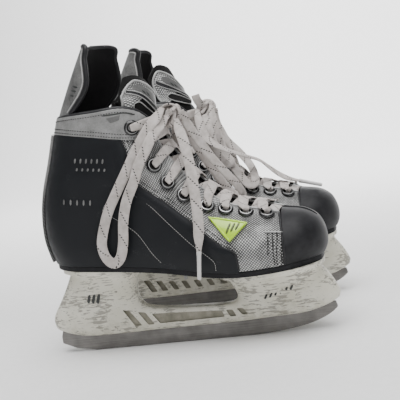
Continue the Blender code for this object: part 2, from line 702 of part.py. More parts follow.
def liner_shape():
    left = back_from(98, 190.9)
    low = lambda t: (left(0)[0] + (-34 - left(0)[0]) * t, 98.0 - 2 * t)
    high = lambda t: (left(1)[0] + (-24 - left(1)[0]) * t, 190.9 + 0.6 * sin(pi * t))
    right = lambda t: (-34 + 10 * t + 3 * sin(pi * t), 96.0 + 94.9 * t)
    grid = wrap(patch(low, high, left, right, 6, 5, lambda t: 0.4 * t + 0.6 * ease_in(t), even))
    return skin_slab(grid, -SHELL - 1.3, -SHELL - 1.3 - LINER)


def badge_shape():
    (ax, az), (bx, bz), (cx, cz) = BADGE
    low = lambda t: (cx + (bx - cx) * t, cz + (bz - cz) * t)
    high = lambda t: (ax + (bx - ax) * t, az + (bz - az) * t)
    rows = []
    for j in range(4):
        v = j / 3
        row = []
        for i in range(5):
            u = i / 4 * 0.97
            p, q = low(u), high(u)
            row.append((p[0] + (q[0] - p[0]) * v, p[1] + (q[1] - p[1]) * v, 1))
        rows.append(row)
    base = STRIP_LIFT + PANEL + GAP
    return skin_slab(rows, base + 1.6, base)


def plate(x0, x1, count, inset, z_low, z_high, reach):
    """A flat piece that follows the sole's outline."""
    top, bottom = [], []
    for k in range(count + 1):
        t = (1 - cos(pi * k / count)) / 2
        x = x0 + (x1 - x0) * t
        seen = -90.4 + (122.6 + 90.4) * t if reach else x
        w = 0.0 if k in (0, count) else max(half_width(seen, upper_z(seen)) - inset, 0.5)
        top.append([(x, w, z_high(x)), (x, -w, z_high(x))])
        bottom.append([(x, w, z_low(x)), (x, -w, z_low(x))])
    return slab(top, bottom)


def holder_shape():
    rings = []
    count = 14
    for (ox, oz), (ix, iz), thick, power, drop in HOLDER:
        ring = []
        for k in range(count):
            a = 2 * pi * (k + 0.5) / count
            c = abs(cos(a)) ** (2 / power) * (1 if cos(a) >= 0 else -1)
            s = abs(sin(a)) ** (2 / power) * (1 if sin(a) >= 0 else -1)
            x = (ox + ix) / 2 + (ox - ix) / 2 * c
            z = (oz + iz) / 2 + (oz - iz) / 2 * c
            if drop is not None:
                z = sole_z(x) - GAP - drop
                s *= ramp(x, [-82, -18, 42, 120.5], [0.97, 1.0, 0.94, 1.0])
            ring.append((x, thick * s, z))
        rings.append(ring)
    return tube(rings)


def runner_outline():
    low = RUNNER_LOW
    return low + RUNNER_HIGH


def groove_outline():
    return [(-103.2, -4), (128.8, -4), (129.6, 16), (128.4, 20.9), (112, 19.85), (-80, 19.85),
            (-99, 21.4), (-103.2, 21.6)]


def pocket_tools():
    shapes = []
    for quads, sign in ((POCKETS_OUT, 1), (POCKETS_IN, -1)):
        for quad in quads:
            half = 6.3
            shapes.append(prism(quad, sign * (half - POCKET_DEPTH), sign * (half + 14)))
    return shapes


def lace_points(name):
    """Route of the held lace: out of every eyelet, over the tongue and under the other facing."""
    spots = [CREST.nearest(x, z)[1] for x, z in EYELETS]
    pts = []

    def place_at(point, width, share):
        pts.append((*point, width, share))

    def eyelet(k, s, outward):
        x, z = EYELETS[k]
        steps = ((-4.8, 3.4), (-1.6, 3.2), (2.6, 3.2), (5.8, 4.8))
        for off, width in (steps if outward else reversed(steps)):
            place_at(skin(x, z, s, off), width, spots[k])

    def strand(k, s, height, up):
        """From eyelet k on side s to the next row up on the other side, or back down."""
        a, b = spots[k], spots[k - 1]
        rise = depth_of(a, 9) - 2.6
        legs = [(on_crest(a + 0.22 * (b - a), s * 19.5, 5.2), LACE_W, a + 0.22 * (b - a)),
                (crest_point(a + 0.36 * (b - a), s * 9, rise), LACE_W, a + 0.36 * (b - a)),
                (crest_point((a + b) / 2, 0, height), LACE_W, (a + b) / 2),
                (crest_point(a + 0.66 * (b - a), -s * 9, 2.6), LACE_W, a + 0.66 * (b - a)),
                (on_crest(a + 0.84 * (b - a), -s * 18, -4.7), 6.6, a + 0.84 * (b - a))]
        for point, width, share in (legs if up else reversed(legs)):
            place_at(point, width, share)

    knot = KNOT[name]
    last = len(EYELETS) - 1
    top = on_crest(spots[0] + 0.004, 19, 5.0)
    place_at((knot[0] - 6.5, 12.0, knot[2] - 3.0), 6.0, spots[0] + 0.01)
    place_at(top, LACE_W, spots[0] + 0.004)
    s = 1
    for k in range(0, last + 1):
        eyelet(k, s, False)
        if k < last:
            strand(k + 1, -s, -1.3, False)
            s = -s
    low = spots[last] - 0.012
    place_at(on_crest(low, s * 18, -4.7), 6.6, low)
    place_at(crest_point(low - 0.003, s * 8, 1.6), LACE_W, low)
    place_at(crest_point(low - 0.003, -s * 8, 1.6), LACE_W, low)
    place_at(on_crest(low, -s * 18, -4.7), 6.6, low)
    s = -s
    for k in range(last, -1, -1):
        eyelet(k, s, True)
        if k > 0:
            strand(k, s, -3.0, True)
            s = -s
    place_at(on_crest(spots[0] + 0.004, -19, 5.0), LACE_W, spots[0] + 0.004)
    place_at((knot[0] - 6.5, -10.0, knot[2] - 3.0), 6.0, spots[0] + 0.01)
    return pts


def lace_shape(name):
    points, widths, thick, across = [], [], [], []
    for x, v, z, width, share in lace_points(name):
        _, (tx, tz), _ = crest_frame(share)
        points.append((x, v, z))
        widths.append(width)
        thick.append(LACE_T)
        across.append((tx, 0.0, tz))
    return ribbon(points, widths, thick, across)


def free_lace(points, width, taper, across0, across1):
    route = resample(points, 2)
    n = len(route)
    widths, across = [], []
    for k in range(n):
        t = k / (n - 1)
        narrow = smooth((t - taper) / (1 - taper)) if taper < 1 else 0.0
        widths.append(width * (1 - 0.58 * narrow))
        across.append(Vector(across0).lerp(Vector(across1), smooth(t * 2)))
    return ribbon(route, widths, [LACE_T] * n, across)


def aglet_shape(points):
    """The stiff tip that hangs on from the end of a lace."""
    a, b = Vector(points[-2]), Vector(points[-1])
    d = (b - a).normalized()
    side = Vector((1, 0, 0))
    side = (side - d * side.dot(d)).normalized()
    up = d.cross(side)
    rings = []
    for along in (0.35, AGLET_LENGTH):
        c = b + d * along
        turns = [2 * pi * k / 8 for k in range(8)]
        rings.append([tuple(c + side * 1.7 * cos(t) + up * 1.3 * sin(t)) for t in turns])
    return tube(rings)


def knot_shape(name):
    cx, cv, cz = KNOT[name]
    rings = []
    for k in range(7):
        a = pi * (k + 0.35) / 6.7
        r = sin(a)
        turns = [2 * pi * j / 10 for j in range(10)]
        rings.append([(cx + 6 * r * cos(t), cv - 10.5 * cos(a), cz + 6.2 * r * sin(t)) for t in turns])
    return tube(rings)


def build(name, side):
    """One skate: name is right or left, side is -1 or 1 across the pair."""
    def add(piece, shape, mat):
        return solid(f"{name}_{piece}", side, shape, mat)

    sole = plate(-91.2, 122.8, 18, -0.6, sole_z, lambda x: sole_z(x) + SOLE, False)
    add("outsole", sole, "outsole_black")
    board = plate(-85.8, 116.5, 14, 4.8, lambda x: upper_z(x) + 0.1, lambda x: upper_z(x) + 2.3, True)
    add("insole_board", board, "insole_board")
    quarter = add("quarter_shell", skin_slab(wrap(quarter_grid()), 0.0, -SHELL), "silver_mesh")
    rear = skin_slab(wrap(rear_panel_grid()), REAR_LIFT + PANEL, REAR_LIFT)
    add("rear_panel", rear, "black_leather")
    add("backstay", backstay_shape(), "backstay_grey")
    add("toe_cap", toe_cap_shape(), "toe_cap_black")
    add("collar_band", band_shape(), "collar_silver")
    add("tendon_guard", guard_shape(), "guard_silver")
    add("liner", liner_shape(), "lining_black")
    add("tongue_lower", tongue_lower_shape(), "tongue_felt")
    add("tongue_upper", tongue_upper_shape(name), "tongue_face")
    add("badge", badge_shape(), "badge_lime")
    for foot_side, word in ((1, "outer"), (-1, "inner")):
        strip, rings, holes = eyelet_strip(foot_side)
        row = add(f"eyelets_{word}", strip, "eyelet_metal")
        boolean(row, cutter(f"{name}_{word}_rings", side, rings), "UNION")
        tool = cutter(f"{name}_{word}_holes", side, holes)
        boolean(row, tool, "DIFFERENCE")
        boolean(quarter, tool, "DIFFERENCE")
    holder = add("blade_holder", holder_shape(), "holder_white")
    above = plate(-96, 128, 18, -8, lambda x: sole_z(x) - GAP, lambda x: sole_z(x) + 12, False)
    boolean(holder, cutter(f"{name}_sole_room", side, [above]), "DIFFERENCE")
    half = RUNNER_HALF + 0.3
    groove = cutter(f"{name}_groove", side, [prism(groove_outline(), -half, half)])
    boolean(holder, groove, "DIFFERENCE")
    boolean(holder, cutter(f"{name}_pockets", side, pocket_tools()), "DIFFERENCE")
    add("runner", prism(runner_outline(), -RUNNER_HALF, RUNNER_HALF), "runner_steel")
    add("lace", lace_shape(name), "lace_fabric")
    add("lace_knot", knot_shape(name), "lace_fabric")
    first, last = (0.7, 0, 0.7), (1, 0, 0.1)
    add("lace_loop_outer", free_lace(LOOP_A[name], LACE_W, 1.5, first, last), "lace_fabric")
    add("lace_loop_inner", free_lace(LOOP_B[name], LACE_W, 1.5, first, last), "lace_fabric")
    add("lace_end_outer", free_lace(END_A[name], LACE_W, 0.8, first, last), "lace_fabric")
    resting = last if name == "right" else (0.3, 1, 0)
    add("lace_end_inner", free_lace(END_B[name], LACE_W, 0.8, first, resting), "lace_fabric")
    add("aglet_outer", aglet_shape(END_A[name]), "aglet_plastic")
    add("aglet_inner", aglet_shape(END_B[name]), "aglet_plastic")


build("right", -1)
build("left", 1)
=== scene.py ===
"""The looks of a pair of junior ice hockey skates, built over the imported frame.

Lengths are millimetres in one skate's own frame: x forward, v sideways from the skate's middle plane
(positive on the outer side of the foot), z up from the blade's flat. Everything is placed in metres.
"""

from functools import lru_cache
from math import cos, hypot, pi, radians, sin, sqrt

import bmesh
import bpy
from mathutils import Matrix, Vector


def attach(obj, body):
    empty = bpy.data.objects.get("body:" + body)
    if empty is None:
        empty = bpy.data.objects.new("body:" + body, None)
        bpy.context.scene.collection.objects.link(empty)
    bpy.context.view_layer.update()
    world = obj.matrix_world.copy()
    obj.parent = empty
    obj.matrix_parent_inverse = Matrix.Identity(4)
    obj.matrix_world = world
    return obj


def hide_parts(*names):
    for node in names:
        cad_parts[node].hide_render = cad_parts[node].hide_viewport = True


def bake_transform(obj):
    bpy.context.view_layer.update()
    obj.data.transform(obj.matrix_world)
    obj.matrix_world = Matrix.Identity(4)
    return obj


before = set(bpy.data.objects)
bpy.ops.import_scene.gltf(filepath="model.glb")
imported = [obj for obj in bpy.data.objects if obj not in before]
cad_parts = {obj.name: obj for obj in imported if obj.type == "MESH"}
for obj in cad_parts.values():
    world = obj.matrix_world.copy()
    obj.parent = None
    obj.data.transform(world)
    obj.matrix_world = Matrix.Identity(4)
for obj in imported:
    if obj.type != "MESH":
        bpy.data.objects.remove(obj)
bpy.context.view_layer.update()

MM = 0.001
X_MID = 13.0            # x of the pair's middle
Y_SKATE = 60.0          # half the distance between the two skates
ROOT = "skates"

# the boot's form
SOLE = 4.0              # thickness of the outsole
HEEL_Z = 78             # where the boot's wall starts at the heel
BAND_Z = 179.6          # lower edge of the collar band at the back
COLLAR_Z = 191.3        # its upper edge
SEAM_X = 97.5           # the toe cap's seam
SOLE_LINE = [(-92, 73.5), (-76, 72), (-41, 68.2), (-3, 63.2), (16, 59.9), (35, 56.4), (51, 54.3),
             (69, 53.7), (95, 54.6), (112, 55.2), (124, 56)]
BACK_LINE = [(-90, 74), (-92.3, 84), (-94.4, 99.4), (-92.8, 118), (-88.3, 136.1), (-81, 155.6),
             (-73, 178.8), (-67.7, 192.7), (-59, 209), (-50.6, 223.6), (-38.3, 243.7), (-33, 252)]
CREST_LINE = [(121.5, 57), (125.8, 62.5), (127.8, 69.5), (126.9, 79), (122.5, 88.2), (113, 94.6),
              (98, 98), (86, 101.6), (76, 104.2), (63, 108.2), (52, 114.6), (38, 127.6), (26, 142.5),
              (18.8, 154), (14.8, 164), (12.6, 175), (11.6, 187), (9.5, 198), (6, 210), (0, 225)]
BLACK_EDGE = [(64, 59), (64.3, 70.6), (61.9, 74.6), (54.7, 78.5), (42.2, 89.4), (34.3, 97.3),
              (16.2, 114.5), (-1.6, 129.9), (-10.4, 142.4), (-9, 156), (-12.2, 168)]
BAND_LOW = [(-72.6, 179.6), (-59.4, 178.4), (-35, 173.4), (-12.6, 168), (3, 165.2), (11, 164.5)]
COLLAR_TOP = [(-68, 191.3), (-49, 191.4), (-28, 191.2), (-10, 191.2), (1.5, 187.4), (8.2, 179.5)]
EYELETS = [(-3, 175.5), (0.7, 160.4), (9.4, 144.8), (17.8, 130.7), (28.7, 119), (44.6, 108.5),
           (57.8, 103.6), (72.8, 99.6), (87.9, 96.3)]
GUARD_FRONT = [(-50, 192.6), (-37, 204.5), (-31.2, 214), (-30.6, 225), (-31.2, 233), (-29.5, 239.5)]
GUARD_TOP = [(-38.6, 243.2), (-35, 243.3), (-31.5, 242.4), (-29.5, 239.5)]
GUARD_MEDIAL_SHIFT = 6.0
BADGE = [(45.5, 100.6), (74.5, 92.4), (60.9, 81.5)]
SEAM_ONE = [(-8, 125.5), (-4.6, 122.8), (2.9, 115.8), (16.2, 100), (32.3, 82.4), (40.3, 75.4),
            (46.9, 68.5), (46.8, 62)]
SEAM_TWO = [(-20.1, 130.9), (-26.7, 126.3), (-34.2, 118.1), (-33.1, 114.2), (-25.4, 108.9),
            (-14.3, 99.6), (-8.9, 93.4), (-1.5, 80), (4.3, 71.7)]

# profile of each tongue above its fold, the height of its slanting top edge, and its front panel
TONGUE_HALF = 26.5
TONGUE_TOP = {"right": [(12, 190.6), (12.2, 197), (10.6, 204), (7.6, 211), (3.6, 217), (-1.5, 223)],
              "left": [(10.6, 190.6), (5.6, 201), (0.6, 213), (-3.5, 223.5), (-7.5, 235)]}
TONGUE_EDGE = {"right": ([-26.5, -20, -12, -4, 4, 10, 15, 20, 24, 26.5],
                         [5, 10, 15, 20, 26.5, 31, 33.5, 29, 18, 8]),
               "left": ([-26.5, -24, -21, -14, -10, -1, 4, 12, 20, 26.5],
                        [8, 20, 35, 42, 41, 36, 30, 24, 17, 8])}
FACE = {"right": 1, "left": -1}      # the half of the tongue that its front panel leans to
PANEL_EDGE = {"right": [(23.6, -4), (22.5, 16), (18.5, 23.5), (13, 25.2), (10, 23), (5, 17.5),
                        (0.5, 12.5), (-8, 6.5), (-16, 2), (-19, -6)],
              "left": [(23.6, -4), (22.5, 20), (21, 30), (16, 36), (11, 32.5), (4, 23.5), (0, 17),
                       (-7, 11), (-15, 5), (-19, -6)]}
LIFT = {"right": 0.0, "left": 9.0}   # how much higher the marks sit on the taller tongue

# stations of the blade holder: outer point, inner point, half thickness, squareness, drop of the flange
HOLDER = [((-86.5, 72), (-16, 65), 29.3, 2.5, -0.3), ((-86.5, 72), (-16, 65), 29.3, 2.5, 3.3),
          ((-82.3, 68.4), (-20.5, 62.5), 20.5, 2.7, None),
          ((-82.5, 66.5), (-25, 61), 16.5, 2.8, None), ((-87, 58), (-28, 56), 13.5, 3, None),
          ((-94.5, 46), (-29.5, 46), 11, 3, None), ((-103.8, 32.5), (-28.5, 40.5), 9.2, 3, None),
          ((-104.6, 25), (-27, 37.6), 8.4, 3, None),
          ((-100.5, 19.5), (-25.5, 35.6), 7.6, 3.4, None), ((-80, 13.4), (-22, 33.2), 6.8, 4, None),
          ((-47.5, 12.6), (-14, 31.2), 6.2, 5, None), ((-18, 12.8), (0, 29.7), 6, 5, None),
          ((20, 12.8), (20, 28.6), 6, 5, None), ((50, 12.8), (40, 27.9), 6.2, 5, None),
          ((80, 13.8), (49, 29.4), 7, 4, None), ((108, 15.4), (52, 33), 8.5, 3.4, None),
          ((130.5, 24), (51, 38), 10, 3, None), ((128.5, 36.5), (48, 44.5), 12, 2.8, None),
          ((121.5, 47.5), (46, 48.6), 16, 2.6, None), ((119.5, 51.5), (43.5, 50.4), 22, 2.5, None),
          ((123.0, 56), (39, 54), 37, 2.4, 3.3), ((123.0, 56), (39, 54), 37, 2.4, -0.3)]
POCKETS_OUT = [[(-42.8, 32.4), (-37.1, 31), (-28.7, 18), (-34.6, 18)],
               [(-30.6, 29.3), (-24.4, 28.3), (-18.1, 18), (-23.4, 18)],
               [(-19.3, 26.7), (38.3, 23.6), (40, 18.2), (-13.6, 18.2)],
               [(41.5, 23.6), (46.9, 23.4), (49.4, 18), (44.3, 18)],
               [(50.4, 24), (55.4, 24), (58.8, 18.6), (54.1, 18.6)]]
# inner pockets, 12 mm apart: height of the top edge, width, lean, height of the lower edge
POCKETS_IN = [[(x, top), (x + wide, top), (x + wide + lean, low), (x + lean, low)]
              for x, (top, wide, lean, low) in zip(range(-62, 35, 12), [
                  (31, 6, 6, 19), (29, 5.5, 5, 19), (27.5, 5, 4.4, 19), (26.5, 5, 3.6, 19),
                  (26, 5, 3.2, 19.2), (25.5, 5, 3, 19.4), (25, 5, 2.8, 19.6), (24.8, 5, 2.6, 19.8),
                  (24.6, 5, 2.4, 20)])]
RUNNER_LOW = [(-101.4, 14), (-101.4, 8.5), (-89.5, 3.3), (-73, 0.6), (-52, 0), (52, 0),
              (70.6, 0.6), (90, 2.4), (107, 5.6), (121, 11), (128, 16)]
RUNNER_HIGH = [(127, 20.5), (112, 19.5), (50, 19.5), (-80, 19.5), (-99, 21)]
RUNNER_HALF = 1.5       # half the thickness of the steel

# the free laces of each skate: points (x, v, z) along the middle of the flat lace
LACE_W, LACE_T = 8.0, 1.3
KNOT_PITCH = 2.3        # between the knots of the silver mesh
LOOP_A = {"right": [(21.5, 13.6, 179.5), (19, 21, 175), (15, 29.5, 169.5), (8, 36.3, 158),
                    (1, 38.8, 147), (-4, 39.6, 136), (-12.5, 39.4, 122), (-18, 38.8, 107),
                    (-21.2, 38.2, 91), (-25.4, 37.5, 80), (-31.5, 37, 75.8), (-37, 36.8, 80.5),
                    (-39, 36.8, 90), (-36, 36.9, 101), (-29, 37.2, 116), (-19.5, 37.4, 130),
                    (-9, 36.6, 145), (0, 34.6, 158.5), (10.5, 30, 172.8), (16.8, 21.5, 181),
                    (19.4, 13.8, 186.5)],
          "left": [(30, 5.5, 180), (30, 3.5, 166), (36, 1, 151), (46.5, -1, 138), (55, -6.5, 127),
                   (60, -16, 119), (62, -27, 111), (57, -31, 109.8), (50.8, -27.6, 117.2),
                   (42, -19, 129), (35, -11, 143), (31, -5.5, 157), (28.6, -2, 167.6),
                   (27.8, 0.5, 173.4)]}
LOOP_B = {"right": [(29.8, -3, 182.2), (31.5, -8, 172), (37.5, -13, 157), (45, -17, 141),
                    (53, -21, 128), (59.5, -26, 117), (61.5, -32, 109), (57, -35.5, 106.5),
                    (50, -35, 113), (43.5, -31.5, 126), (37, -27, 141), (31.5, -20.5, 156),
                    (28, -13, 168), (27.4, -8, 173.6)],
          "left": [(29.2, -6, 182.8), (30.5, -14, 172), (32, -18.5, 159), (34.5, -17.5, 147),
                   (38.5, -18.5, 136), (42.2, -22.6, 130.6), (37.8, -27, 131), (33, -26.5, 139),
                   (30, -26.5, 151), (27.5, -24.5, 163), (25.2, -18.4, 171.4), (23, -13.2, 175.5)]}
END_A = {"right": [(27.4, 8.5, 176.5), (30, 14, 169.5), (34.5, 22.5, 157), (38, 30, 141),
                   (39.7, 35.5, 126), (40.6, 39.8, 112), (40.6, 42.4, 100), (39.6, 43.8, 90),
                   (37.8, 44.8, 76.5)],
         "left": [(19.5, 13.8, 179), (22.5, 23, 171), (26, 33, 158), (29.5, 39, 142), (32.5, 42.2, 125),
                  (34.5, 43.8, 108), (35.5, 44.8, 92), (35.2, 45.2, 79)]}
END_B = {"right": [(19, -11.8, 178), (18.5, -21, 173), (14.5, -31.5, 163), (9, -38.5, 149),
                   (5, -41.5, 131), (3, -42.5, 111), (1.5, -43, 92), (0.5, -43.5, 75),
                   (0, -43.5, 60.5)],
         "left": [(17.4, -12.6, 180.5), (20, -24, 172.5), (25.5, -32.5, 157), (35, -36, 148),
                  (45, -33.5, 141.5), (56, -25, 135), (66, -14, 128.5), (73, -8, 120.5),
                  (80, -5, 113.3), (88, -4, 107.8), (99, -4, 103.8)]}
AGLET_LENGTH = 19.0
# the way each free lace faces at the knot and further along
LACE_FACES = {("right", "lace_loop_outer"): ((0.3, 1, 0.2), (0.05, 1, 0.05)),
              ("right", "lace_loop_inner"): ((0.5, 0.8, 0.3), (0.45, 0.7, 0.45)),
              ("right", "lace_end_outer"): ((0.5, 0.8, 0.3), (0.1, 1, 0.1)),
              ("right", "lace_end_inner"): ((0.5, -0.8, 0.3), (0.1, -1, 0.1)),
              ("left", "lace_loop_outer"): ((0.5, -0.8, 0.3), (0.5, -0.7, 0.4)),
              ("left", "lace_loop_inner"): ((0.4, -0.8, 0.3), (0.2, -1, 0.2)),
              ("left", "lace_end_outer"): ((0.5, 0.8, 0.3), (0.1, 1, 0.1)),
              ("left", "lace_end_inner"): ((0.4, -0.8, 0.3), (0.2, -0.35, 0.9))}
KNOT = (20.5, 1.0, 181.5)

# camera, in metres and millimetres of film
CAMERA_AT = (0.18806, -0.71392, 0.17980)
CAMERA_RIGHT = (0.96006, 0.22875, -0.16108)
CAMERA_UP = (0.13218, 0.13658, 0.98177)
LENS, SENSOR = 78.12, 36.0

# floor in metres: half its width, its near and far ends, the sweep's radius, the wall's height
FLOOR_HALF, FLOOR_NEAR, FLOOR_FAR, SWEEP, WALL = 5.0, -4.0, 1.6, 1.2, 5.0
SKY = 0.3
# softboxes: place, aim (metres), size, power
LAMPS = [((0.1, -0.35, 1.6), (0, 0, 0.1), 1.3, 40.0),
         ((0.9, -1.1, 1.0), (0, 0, 0.12), 0.8, 5.0),
         ((0.0, 0.9, 1.7), (0, 2.6, 0.9), 1.2, 120.0)]


# ---------------------------------------------------------------- the boot's surface

def catmull(p0, p1, p2, p3, t):
    return tuple(0.5 * (2 * b + (c - a) * t + (2 * a - 5 * b + 4 * c - d) * t * t
                        + (3 * b - a - 3 * c + d) * t ** 3)
                 for a, b, c, d in zip(p0, p1, p2, p3))


def resample(points, steps):
    """More points along a smooth curve through tuples of any length."""
    pts = [points[0]] + list(points) + [points[-1]]
    out = []
    for k in range(1, len(pts) - 2):
        for j in range(steps):
            out.append(catmull(pts[k - 1], pts[k], pts[k + 1], pts[k + 2], j / steps))
    out.append(tuple(float(c) for c in points[-1]))
    return out


class Line:
    """A smooth open curve through points in the x, z plane."""

    def __init__(self, points, steps=6):
        self.points = resample(points, steps)
        self.lengths = [0.0]
        for a, b in zip(self.points, self.points[1:]):
            self.lengths.append(self.lengths[-1] + hypot(b[0] - a[0], b[1] - a[1]))

    def at(self, t):
        """The point at a share t of the length, and the direction there."""
        s = min(max(t, 0.0), 1.0) * self.lengths[-1]
        for k in range(len(self.points) - 1):
            if s <= self.lengths[k + 1] or k == len(self.points) - 2:
                a, b = self.points[k], self.points[k + 1]
                span = self.lengths[k + 1] - self.lengths[k]
                f = (s - self.lengths[k]) / span
                dx, dz = b[0] - a[0], b[1] - a[1]
                return (a[0] + dx * f, a[1] + dz * f), (dx / span, dz / span)

    def point(self, t):
        return self.at(t)[0]

    def nearest(self, x, z):
        """Signed distance (positive on the left of the direction of travel) and share of the length."""
        best = None
        for k in range(len(self.points) - 1):
            (ax, az), (bx, bz) = self.points[k], self.points[k + 1]
            dx, dz = bx - ax, bz - az
            span = dx * dx + dz * dz
            f = min(max(((x - ax) * dx + (z - az) * dz) / span, 0.0), 1.0)
            px, pz = x - ax - dx * f, z - az - dz * f
            d = px * px + pz * pz
            if best is None or d < best[0]:
                side = 1.0 if dx * pz - dz * px >= 0 else -1.0
                best = (d, side, self.lengths[k] + f * (self.lengths[k + 1] - self.lengths[k]))
        return best[1] * sqrt(best[0]), best[2] / self.lengths[-1]

    def part(self, t0, t1):
        return lambda t: self.point(t0 + (t1 - t0) * t)

    def share_at_z(self, z):
        """Share of the length at a height, for a line that only climbs."""
        for k in range(len(self.points) - 1):
            a, b = self.points[k][1], self.points[k + 1][1]
            if a <= z <= b:
                length = self.lengths[k] + (z - a) / (b - a) * (self.lengths[k + 1] - self.lengths[k])
                return length / self.lengths[-1]
        return 1.0


def ramp(x, xs, ys):
    """Straight lines between the given values."""
    if x <= xs[0]:
        return ys[0]
    for a, b, p, q in zip(xs, xs[1:], ys, ys[1:]):
        if x <= b:
            return p + (q - p) * (x - a) / (b - a)
    return ys[-1]


def smooth(t):
    t = min(max(t, 0.0), 1.0)
    return t * t * (3 - 2 * t)


BACK = Line(BACK_LINE)
CREST = Line(CREST_LINE)
UNDER = Line(SOLE_LINE)


def sole_z(x):
    return ramp(x, [p[0] for p in UNDER.points], [p[1] for p in UNDER.points])


def upper_z(x):
    """Height of the boot's lower edge."""
    return sole_z(x) + SOLE + 0.1


@lru_cache(maxsize=None)
def half_width(x, z):
    """Half the boot's width at a point of its side view."""
    back = max(-BACK.nearest(x, z)[0], 0.0)
    crest = max(CREST.nearest(x, z)[0], 0.0)
    foot = ramp(x, [-95, -60, -25, 10, 45, 70, 95, 128], [30.5, 31, 31, 33, 38.5, 41.5, 41.5, 38.5])
    leg = ramp(z, [120, 145, 165, 190, 245], [32.5, 33.5, 31.5, 32.8, 32])
    w = foot + (leg - foot) * smooth((z - 85) / 45)
    w *= 1 - 0.11 * (1 - min(max((z - upper_z(x)) / 17, 0.0), 1.0)) ** 2
    tb = min(back / ramp(z, [190, 240], [30, 22]), 1.0)
    tc = min(crest / ramp(x, [60, 100], [36, 42]), 1.0)
    return w * sqrt(1 - (1 - tb) ** 2) * (1 - (1 - tc) ** 2) ** 0.42


def skin(x, z, s, off=0.0):
    """The point of the boot's outer surface at x, z on side s, moved out by off."""
    w = half_width(x, z)
    e = 0.15
    gx = (half_width(x + e, z) - half_width(x - e, z)) / (2 * e)
    gz = (half_width(x, z + e) - half_width(x, z - e)) / (2 * e)
    v = 0.0 if w < 0.3 else 1.0
    n = Vector((-gx, v, -gz)).normalized()
    return (x + n.x * off, s * (w * v + n.y * off), z + n.z * off)


def skin_normal(x, z, s):
    return (Vector(skin(x, z, s, 1.0)) - Vector(skin(x, z, s))).normalized()


def crest_point(t, v, depth):
    (cx, cz), (tx, tz) = CREST.at(t)
    return (cx - tz * depth, v, cz + tx * depth)


def depth_of(t, v):
    """How far below the crest the boot's surface is |v| wide."""
    low, high = 0.0, 36.0
    for _ in range(20):
        mid = (low + high) / 2
        x, _, z = crest_point(t, 0, mid)
        if half_width(x, z) < abs(v):
            low = mid
        else:
            high = mid
    return high


def on_crest(t, v, off):
    x, _, z = crest_point(t, 0, depth_of(t, v))
    return skin(x, z, 1 if v > 0 else -1, off)


def throat(t):
    """Edge of the lacing gap, from the collar's front corner down to the toe seam."""
    top = CREST.nearest(12.6, 172.5)[1]
    low = CREST.nearest(SEAM_X, 98.2)[1]
    x, _, z = crest_point(top + (low - top) * t, 0, 3.0 - 0.6 * smooth(t))
    return (x, z)


COLLAR = Line(COLLAR_TOP + [throat(0)])
SEAM_LOW = (SEAM_X, upper_z(SEAM_X))
SEAM_HIGH = throat(1)


def quarter_top(t):
    """Upper edge of the boot: collar, front corner, then the edge of the lacing gap."""
    split = 0.42
    return COLLAR.point(t / split) if t <= split else throat((t - split) / (1 - split))


def seam(t):
    """The joint between the boot's side and its toe cap, from the sole up."""
    x = SEAM_LOW[0] + (SEAM_HIGH[0] - SEAM_LOW[0]) * t + 2.0 * sin(pi * t)
    return (x, SEAM_LOW[1] + (SEAM_HIGH[1] - SEAM_LOW[1]) * t)


def sole_edge(x0, x1, lift=0.0):
    return lambda t: (x0 + (x1 - x0) * t, upper_z(x0 + (x1 - x0) * t) + lift)


def back_from(z0, z1):
    return BACK.part(BACK.share_at_z(z0), BACK.share_at_z(z1))


def ease_in(t):
    return 1 - cos(pi / 2 * t)


def ease_out(t):
    return sin(pi / 2 * t)


def even(t):
    return t


def straight(p, q):
    """The straight line between two points of the x, z plane."""
    return lambda t: (p[0] + (q[0] - p[0]) * t, p[1] + (q[1] - p[1]) * t)


def patch(low, high, left, right, nu, nv, fu=even, fv=even):
    """A grid of x, z points filling the four boundary curves; rows run from low to high."""
    rows = []
    p00, p10, p01, p11 = low(0), low(1), high(0), high(1)
    for j in range(nv + 1):
        v = fv(j / nv)
        row = []
        for i in range(nu + 1):
            u = fu(i / nu)
            lo, hi, le, ri = low(u), high(u), left(v), right(v)
            row.append(tuple((1 - v) * lo[c] + v * hi[c] + (1 - u) * le[c] + u * ri[c]
                             - (1 - u) * (1 - v) * p00[c] - u * (1 - v) * p10[c]
                             - (1 - u) * v * p01[c] - u * v * p11[c] for c in (0, 1)))
        rows.append(row)
    return rows


def wrap(outer_half, inner_half=None):
    """Rows of (x, z, side) from the outer side round the shared edge to the inner side."""
    rows = []
    for row, other in zip(outer_half, inner_half or outer_half):
        rows.append([(x, z, 1) for x, z in reversed(row[1:])] + [(x, z, -1) for x, z in other])
    return rows


def one_side(rows, s):
    return [[(x, z, s) for x, z in row] for row in rows]


# ---------------------------------------------------------------- materials

